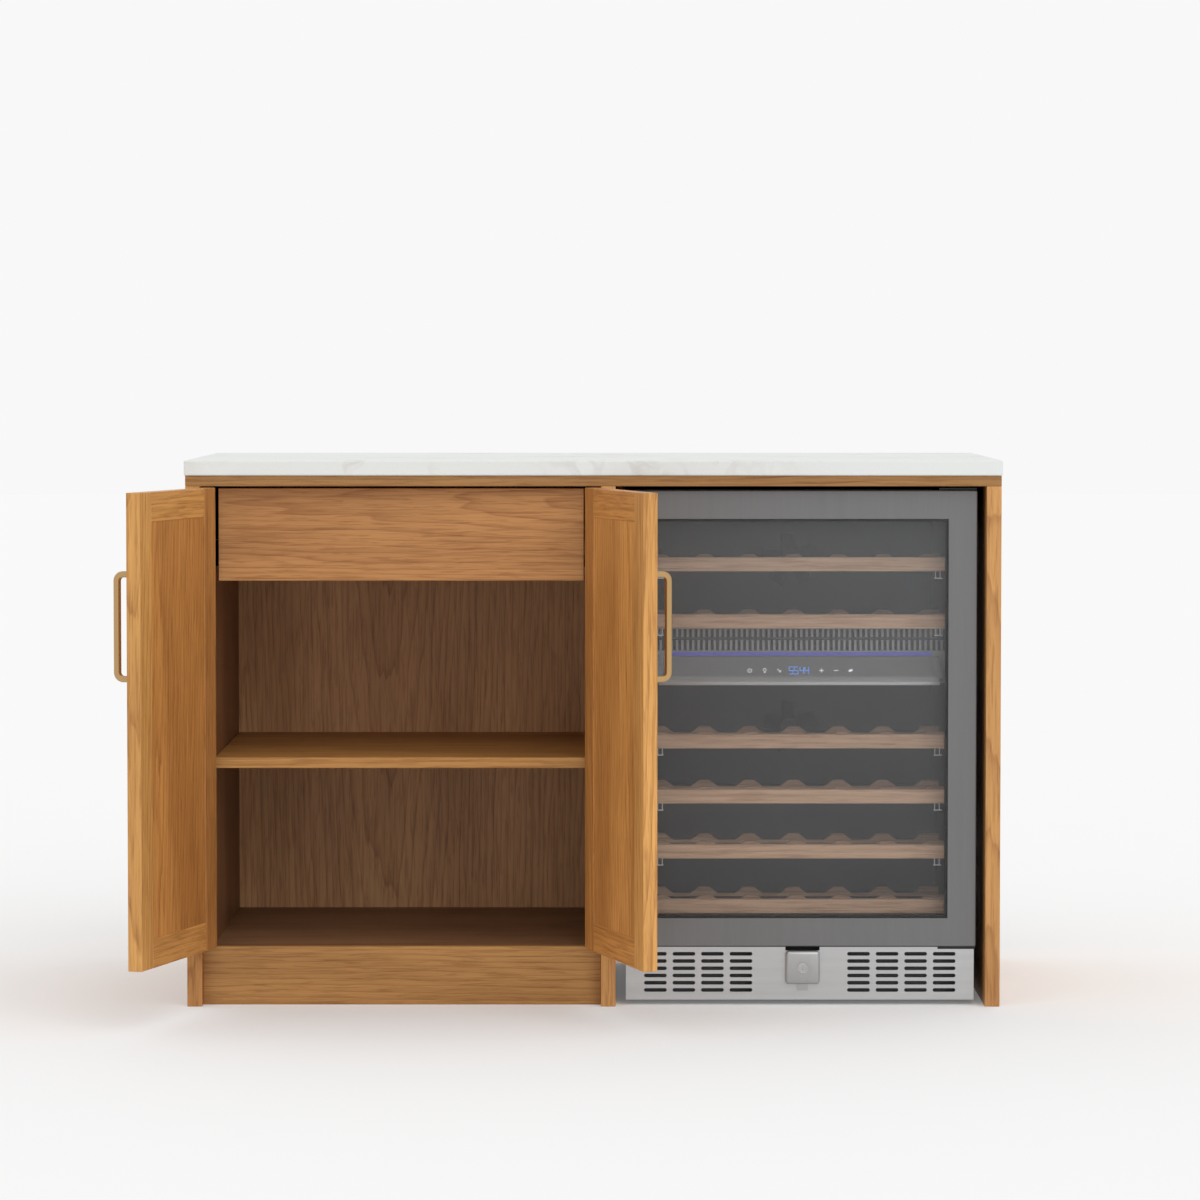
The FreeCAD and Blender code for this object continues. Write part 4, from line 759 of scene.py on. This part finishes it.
    def add_lock_cover(self, steel):
        """Model the rounded cover with the bore that the lock cylinder turns in, and the tab below it."""
        low, high = box_of("lock_housing")
        core_low, core_high = box_of("lock_cylinder")
        axis = (core_low + core_high) / 2
        bore = (core_high.x - core_low.x) / 2 + self.BORE_CLEARANCE
        tab_top = low.z + self.TAB_HEIGHT
        cover = bmesh.new()
        block(cover, (low.x, low.y, tab_top), high)
        front = [edge for edge in cover.edges if any(v.co.y < axis.y for v in edge.verts)]
        soften(cover, front, self.sizes.lock_round, self.COVER_STEPS)
        face = min(cover.faces, key=lambda item: item.calc_center_median().y)
        bmesh.ops.inset_individual(cover, faces=[face], thickness=self.sizes.lock_round)
        for vertex in face.verts:
            vertex.co.x = axis.x + math.copysign(bore, vertex.co.x - axis.x)
            vertex.co.z = axis.z + math.copysign(bore, vertex.co.z - axis.z)
        bmesh.ops.subdivide_edges(cover, edges=face.edges, cuts=self.BORE_CUTS)
        for vertex in face.verts:
            spoke = vertex.co - Vector((axis.x, vertex.co.y, axis.z))
            vertex.co += spoke * (bore / spoke.length - 1)
        floor = bmesh.ops.extrude_discrete_faces(cover, faces=[face])["faces"][0]
        bmesh.ops.translate(cover, vec=(0.0, high.y - low.y - self.BORE_CLEARANCE, 0.0), verts=floor.verts)
        half = self.TAB_WIDTH / 2
        block(cover, (axis.x - half, high.y - self.TAB_SHEET, low.z), (axis.x + half, high.y, tab_top))
        piece("lock_cover", cover, CABINET, steel, ["lock_housing"])

    def add_screws(self, steel):
        """Add the heads of the two screws that hold the plate."""
        low, high = box_of("cooler_kick_plate")
        heads = bmesh.new()
        for x in (low.x + self.SCREW_INSET, high.x - self.SCREW_INSET):
            start = (x, low.y - self.SCREW_PROUD, self.SCREW_HEIGHT)
            end = (x, low.y + self.SCREW_PROUD, self.SCREW_HEIGHT)
            rod(heads, start, end, self.sizes.screw_radius, self.SCREW_SIDES)
        piece("kick_plate_screws", heads, CABINET, steel)


class WINEBAR_OT_racks(WineBarOperator):
    """Dress the bottle racks and add the wire clips at their ends"""

    bl_idname = "wine_bar.racks"
    bl_label = "Bottle Racks"

    CUT = (0.2, 0.1, 0.3)
    RACK_GAP = 0.05
    CLIP_LEGS = (0.232, 0.240)
    CLIP_FOOT = (0.230, 0.244)
    CLIP_HOLD = 0.002
    CLIP_DROP = 0.012
    CLIP_SIDES = 8

    def execute(self, context):
        light, dark = tuple(self.colours.rack_light), tuple(self.colours.rack_dark)
        low, high = box_of("rack_fronts")
        oak = wood("rack_oak", GRAIN_ACROSS, (low + high) / 2, self.CUT, light, dark, roughness=0.5)
        dress(["rack_fronts", "rack_frames"], oak)
        self.add_clips()
        return {"FINISHED"}

    def rack_bottoms(self):
        """Return the heights of the undersides of the rack fronts."""
        heights = sorted({round(v.co.z, 4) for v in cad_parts["rack_fronts"].data.vertices})
        bottoms = [heights[0]]
        for height in heights:
            if height - bottoms[-1] > self.RACK_GAP:
                bottoms.append(height)
        return bottoms

    def add_clips(self):
        """Add a wire clip under each end of each rack front: two legs and a foot."""
        low, high = box_of("rack_fronts")
        middle = (low + high) / 2
        wire = self.sizes.clip_wire / 2
        clips = bmesh.new()
        for bottom in self.rack_bottoms():
            top, foot = bottom + self.CLIP_HOLD, bottom - self.CLIP_DROP
            for side in (-1, 1):
                for reach in self.CLIP_LEGS:
                    x = middle.x + side * reach
                    rod(clips, (x, middle.y, top), (x, middle.y, foot), wire, self.CLIP_SIDES)
                start, end = ((middle.x + side * reach, middle.y, foot) for reach in self.CLIP_FOOT)
                rod(clips, start, end, wire, self.CLIP_SIDES)
        steel = brushed_metal("clip_steel", CLIP_STEEL, roughness=0.3, along=LINES_UP)
        piece("rack_clips", clips, CABINET, steel)


class WINEBAR_OT_divider(WineBarOperator):
    """Dress the zone divider, the lights and the control panel with its display"""

    bl_idname = "wine_bar.divider"
    bl_label = "Divider and Controls"

    FIN_FACE = 0.001
    RECESS = 0.008
    BAR_LOW = 0.6148
    BAR_HIGH = 0.6194
    BAR_SIDE = 0.007
    BAR_PROUD = 0.0005
    PANEL_FOOT = 0.008
    PANEL_HEAD = 0.003
    PAINTED_HIGHLIGHT_HEIGHT = 0.0150
    # Height at which the painted highlight at the panel's foot has faded out
    LIP_PROUD = 0.0012
    LIP_DEPTH = 0.004
    LIP_DROP = 0.002
    LIP_RISE = 0.003
    LIP_ROUND = 0.001
    WING_WIDTH = 0.0115
    WING_OVERHANG = 0.006
    WING_DEPTH = 0.006
    WING_PROUD = 0.0006
    EDGE_TOLERANCE = 0.0001
    PRINT_RELIEF = 0.0006
    DISPLAY_ROW = 0.385
    DISPLAY = "5544"
    DIGIT_PLACES = (-0.0135, -0.0050, 0.0050, 0.0135)
    DIGIT_BARS = {"5": "acdfg", "4": "bcfg"}
    DIGIT_SLIMNESS = 0.5
    SIGN_PLACES = {
        "power": -0.0836, "lamp": -0.0581, "probe": -0.0340, "plus": 0.0386, "minus": 0.0633, "leaf": 0.0879,
    }

    def execute(self, context):
        low = box_of("zone_divider")[0]
        # The fins grade from pale at their front edges to dark further back: painted shade in the grille's
        # recesses
        fins = graded_plastic("grille_grey", "Y", low.y + self.FIN_FACE, low.y + self.RECESS,
                              FIN_GREY, FIN_PAINTED_SHADE, roughness=0.45)
        dress(["zone_divider"], fins)
        self.add_cross_bar()
        dress(["led_strips"], lit("blue_light", tuple(self.colours.glow), strength=0.15))
        self.add_panel()
        self.add_display()
        return {"FINISHED"}

    def add_cross_bar(self):
        """Add the dark bar that parts the fins into two rows."""
        low, high = box_of("zone_divider")
        bar = bmesh.new()
        block(bar, (low.x + self.BAR_SIDE, low.y - self.BAR_PROUD, self.BAR_LOW),
              (high.x - self.BAR_SIDE, low.y + self.RECESS, self.BAR_HIGH))
        soften(bar, list(bar.edges), self.BAR_PROUD / 2, segments=1)
        black = plain_plastic("bar_black", BAR_BLACK, roughness=0.5)
        piece("grille_cross_bar", bar, CABINET, black)

    def slope(self):
        """Return the matrix that lays a flat drawing on the panel's sloping face, and the face's length."""
        low, high = box_of("control_panel")
        foot = Vector(((low.x + high.x) / 2, low.y, low.z + self.PANEL_FOOT))
        head = Vector((foot.x, high.y - self.PANEL_HEAD, high.z))
        up = (head - foot).normalized()
        across = Vector((1, 0, 0))
        out = across.cross(up)
        turn = Matrix((across, up, out)).transposed().to_4x4()
        return Matrix.Translation(foot) @ turn, (head - foot).length

    def add_panel(self):
        """Dress the panel with a painted highlight along its lower edge, and add its lip and the wings at
        its flared ends.
        """
        low, high = box_of("control_panel")
        # The panel's colour is a painted highlight at its foot that fades to its grey higher up
        panel = graded_plastic("panel_grey", "Z", low.z + self.LIP_RISE, low.z + self.PAINTED_HIGHLIGHT_HEIGHT,
                               PANEL_PAINTED_HIGHLIGHT, PANEL_GREY, roughness=0.35)
        dress(["control_panel"], panel)
        lip = bmesh.new()
        block(lip, (low.x, low.y - self.LIP_PROUD, low.z - self.LIP_DROP),
              (high.x, low.y + self.LIP_DEPTH, low.z + self.LIP_RISE))
        soften(lip, list(lip.edges), self.LIP_ROUND, segments=2)
        silver = brushed_metal("panel_silver", PANEL_SILVER, roughness=0.34, along=PANEL_LINES, metallic=0.6)
        piece("panel_lip", lip, CABINET, silver)
        place, length = self.slope()
        points = [vertex.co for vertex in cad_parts["control_panel"].data.vertices]
        top = max(point.x for point in points if point.z > high.z - self.EDGE_TOLERANCE)
        flare = high.x - top
        outer = (high.x - low.x) / 2 + self.WING_OVERHANG
        inner = outer - self.WING_WIDTH
        wings = bmesh.new()
        for side in (-1, 1):
            corners = block(wings, (inner, 0.0, -self.WING_DEPTH), (outer, length, self.WING_PROUD))
            for vertex in corners:
                vertex.co.x = (vertex.co.x - flare * vertex.co.y / length) * side
            bmesh.ops.transform(wings, matrix=place, verts=corners)
        grey = plain_plastic("wing_grey", WING_GREY, roughness=0.35)
        piece("panel_wings", wings, CABINET, grey)

    def stroke(self, shape, place, start, end, width):
        """Draw a flat stroke on the panel from one point to another."""
        start, end = Vector((*start, 0.0)), Vector((*end, 0.0))
        way = end - start
        turn = Matrix.Rotation(math.atan2(way.y, way.x), 4, "Z")
        size = Matrix.Diagonal((way.length, width, self.PRINT_RELIEF, 1.0))
        middle = Matrix.Translation((start + end) / 2)
        bmesh.ops.create_cube(shape, size=1.0, matrix=place @ middle @ turn @ size)

    def ring(self, shape, place, radius, start, end, steps):
        """Draw an arc of short strokes around the middle of its place, from angle to angle."""
        width = self.sizes.sign_stroke
        angles = [math.radians(start + (end - start) * n / steps) for n in range(steps + 1)]
        points = [(radius * math.cos(angle), radius * math.sin(angle)) for angle in angles]
        for first, second in zip(points, points[1:]):
            self.stroke(shape, place, first, second, width)

    def add_display(self):
        """Add the lit digits and the touch symbols in one row on the panel."""
        slope, length = self.slope()
        row = slope @ Matrix.Translation((0.0, length * self.DISPLAY_ROW, 0.0))
        digits = bmesh.new()
        for digit, across in zip(self.DISPLAY, self.DIGIT_PLACES):
            self.add_digit(digits, row @ Matrix.Translation((across, 0.0, 0.0)), digit)
        blue = lit("lit_digits", tuple(self.colours.digits), strength=0.45)
        piece("display_digits", digits, CABINET, blue)
        signs = bmesh.new()
        for sign, across in self.SIGN_PLACES.items():
            self.add_sign(signs, row @ Matrix.Translation((across, 0.0, 0.0)), sign)
        white = lit("lit_symbols", SYMBOL_WHITE, strength=0.5)
        piece("touch_symbols", signs, CABINET, white)

    def add_digit(self, shape, place, digit):
        """Draw one digit with its bars."""
        half = self.sizes.digit_height / 2
        side = half * self.DIGIT_SLIMNESS
        bars = {
            "a": ((-side, half), (side, half)),
            "b": ((side, 0), (side, half)),
            "c": ((side, -half), (side, 0)),
            "d": ((-side, -half), (side, -half)),
            "f": ((-side, 0), (-side, half)),
            "g": ((-side, 0), (side, 0)),
        }
        for bar in self.DIGIT_BARS[digit]:
            self.stroke(shape, place, *bars[bar], self.sizes.stroke)

    def add_sign(self, shape, place, sign):
        """Draw one touch symbol."""
        half = self.sizes.symbol_size / 2
        width = self.sizes.sign_stroke
        if sign == "power":
            self.ring(shape, place, half * 0.85, start=130, end=410, steps=12)
            self.stroke(shape, place, (0, 0), (0, half), width)
        elif sign == "lamp":
            bulb = place @ Matrix.Translation((0.0, half * 0.3, 0.0))
            self.ring(shape, bulb, half * 0.65, start=-60, end=240, steps=10)
            for height in (-0.55, -0.95):
                self.stroke(shape, place, (-half * 0.35, half * height), (half * 0.35, half * height), width)
        elif sign == "probe":
            self.stroke(shape, place, (-half * 0.7, half * 0.7), (half * 0.1, 0), width)
            tip = place @ Matrix.Translation((half * 0.45, -half * 0.35, 0.0))
            self.ring(shape, tip, half * 0.4, start=0, end=360, steps=8)
        elif sign == "plus":
            self.stroke(shape, place, (-half, 0), (half, 0), width)
            self.stroke(shape, place, (0, -half), (0, half), width)
        elif sign == "minus":
            self.stroke(shape, place, (-half, 0), (half, 0), width)
        else:
            tilted = place @ Matrix.Rotation(math.radians(20), 4, "Z")
            for height in (-0.3, 0.0, 0.3):
                reach = half * (1.0 - abs(height))
                self.stroke(shape, tilted, (-reach, half * height), (reach, half * height), width * 1.4)


class WINEBAR_OT_stage(WineBarOperator):
    """Add the pale floor, the soft light and the camera"""

    bl_idname = "wine_bar.stage"
    bl_label = "Stage"

    CAMERA_PLACE = (-0.00756, -8.26785, 1.0910)
    CAMERA_PITCH = 0.05080
    CAMERA_YAW = 0.00080
    CAMERA_LENS = 141.65
    CAMERA_SENSOR = 36.0
    CAMERA_REACH = 100.0
    FLOOR_REACH = 30.0
    FLOOR_GREY = (0.955, 0.955, 0.955)
    FLOOR_GLOW = 0.12
    AMBIENT = 0.85
    SUN_WAY = Vector((0.35, -0.88, 0.72))
    SUN_DISTANCE = 4.0
    SUN_SPREAD = math.radians(50)
    SUN_STRENGTH = 0.75

    def execute(self, context):
        self.add_floor(context.scene)
        self.add_world(context.scene)
        self.add_sun(context.scene)
        self.add_camera(context.scene)
        context.scene.view_settings.view_transform = "Standard"
        return {"FINISHED"}

    def add_floor(self, scene):
        """Add the wide pale floor that the cabinet stands on."""
        shape = bmesh.new()
        bmesh.ops.create_grid(shape, x_segments=1, y_segments=1, size=self.FLOOR_REACH)
        mesh = bpy.data.meshes.new("floor")
        shape.to_mesh(mesh)
        shape.free()
        floor = bpy.data.objects.new("floor", mesh)
        scene.collection.objects.link(floor)
        mesh.materials.append(self.floor_material())

    def seen(self, nodes):
        """Return a factor that is 1 for rays that show the studio itself."""
        path = nodes.add("ShaderNodeLightPath").outputs
        clear = nodes.math("MAXIMUM", path["Is Camera Ray"], path["Is Transmission Ray"])
        return nodes.math("MAXIMUM", clear, path["Is Glossy Ray"])

    def floor_material(self):
        """Return a matte floor that is lifted a little towards the backdrop where it is seen."""
        material = bpy.data.materials.new("studio_floor")
        material.use_nodes = True
        material.node_tree.nodes.clear()
        nodes = Nodes(material.node_tree)
        matte = nodes.add("ShaderNodeBsdfDiffuse", Color=(*self.FLOOR_GREY, 1.0))
        glow = nodes.add("ShaderNodeEmission", Color=(*self.colours.backdrop, 1.0))
        share = nodes.math("MULTIPLY", self.seen(nodes), self.FLOOR_GLOW)
        surface = nodes.mix_shaders(share, matte.outputs["BSDF"], glow.outputs["Emission"])
        nodes.add("ShaderNodeOutputMaterial", Surface=surface)
        return material

    def add_world(self, scene):
        """Light the scene from all sides and show the backdrop's colour to the camera."""
        scene.world = bpy.data.worlds.new("studio")
        scene.world.use_nodes = True
        scene.world.node_tree.nodes.clear()
        nodes = Nodes(scene.world.node_tree)
        ambient = nodes.add("ShaderNodeBackground", Color=(*WHITE, 1.0), Strength=self.AMBIENT)
        backdrop = nodes.add("ShaderNodeBackground", Color=(*self.colours.backdrop, 1.0))
        surface = nodes.mix_shaders(self.seen(nodes), ambient.outputs["Background"],
                                    backdrop.outputs["Background"])
        nodes.add("ShaderNodeOutputWorld", Surface=surface)

    def add_sun(self, scene):
        """Add the broad soft light from the front right, above."""
        light = bpy.data.lights.new("key_sky", "SUN")
        light.angle = self.SUN_SPREAD
        light.energy = self.SUN_STRENGTH
        sun = bpy.data.objects.new("key_sky", light)
        sun.location = self.SUN_WAY * self.SUN_DISTANCE
        sun.rotation_euler = (-self.SUN_WAY).to_track_quat("-Z", "Y").to_euler()
        scene.collection.objects.link(sun)

    def add_camera(self, scene):
        """Add the camera that took the photo."""
        lens = bpy.data.cameras.new("photo_camera")
        lens.sensor_fit = "HORIZONTAL"
        lens.sensor_width = self.CAMERA_SENSOR
        lens.lens = self.CAMERA_LENS
        lens.clip_end = self.CAMERA_REACH
        camera = bpy.data.objects.new("photo_camera", lens)
        camera.location = self.CAMERA_PLACE
        camera.rotation_euler = (math.radians(90) - self.CAMERA_PITCH, 0.0, self.CAMERA_YAW)
        scene.collection.objects.link(camera)
        scene.camera = camera


OPERATORS = (
    WINEBAR_OT_worktop,
    WINEBAR_OT_carcass,
    WINEBAR_OT_doors,
    WINEBAR_OT_drawer,
    WINEBAR_OT_cooler_body,
    WINEBAR_OT_cooler_door,
    WINEBAR_OT_kick_plate,
    WINEBAR_OT_racks,
    WINEBAR_OT_divider,
    WINEBAR_OT_stage,
)


class WINEBAR_PT_panel(bpy.types.Panel):
    """Sidebar panel that lists the steps, colours and sizes"""

    bl_idname = "WINEBAR_PT_panel"
    bl_label = "Wine Bar Cabinet"
    bl_space_type = "VIEW_3D"
    bl_region_type = "UI"
    bl_category = "Wine Bar"

    def draw(self, context):
        layout = self.layout
        for operator in OPERATORS:
            layout.operator(operator.bl_idname)
        for group in (context.scene.wine_bar_colours, context.scene.wine_bar_sizes):
            for name in group.bl_rna.properties.keys():
                if name not in {"rna_type", "name"}:
                    layout.prop(group, name)


CLASSES = (WineBarColours, WineBarSizes, *OPERATORS, WINEBAR_PT_panel)


def register():
    for item in CLASSES:
        bpy.utils.register_class(item)
    bpy.types.Scene.wine_bar_colours = bpy.props.PointerProperty(type=WineBarColours)
    bpy.types.Scene.wine_bar_sizes = bpy.props.PointerProperty(type=WineBarSizes)


def unregister():
    del bpy.types.Scene.wine_bar_sizes
    del bpy.types.Scene.wine_bar_colours
    for item in reversed(CLASSES):
        bpy.utils.unregister_class(item)


def main():
    register()
    for operator in OPERATORS:
        group, name = operator.bl_idname.split(".")
        getattr(getattr(bpy.ops, group), name)()


if __name__ == "__main__":
    main()
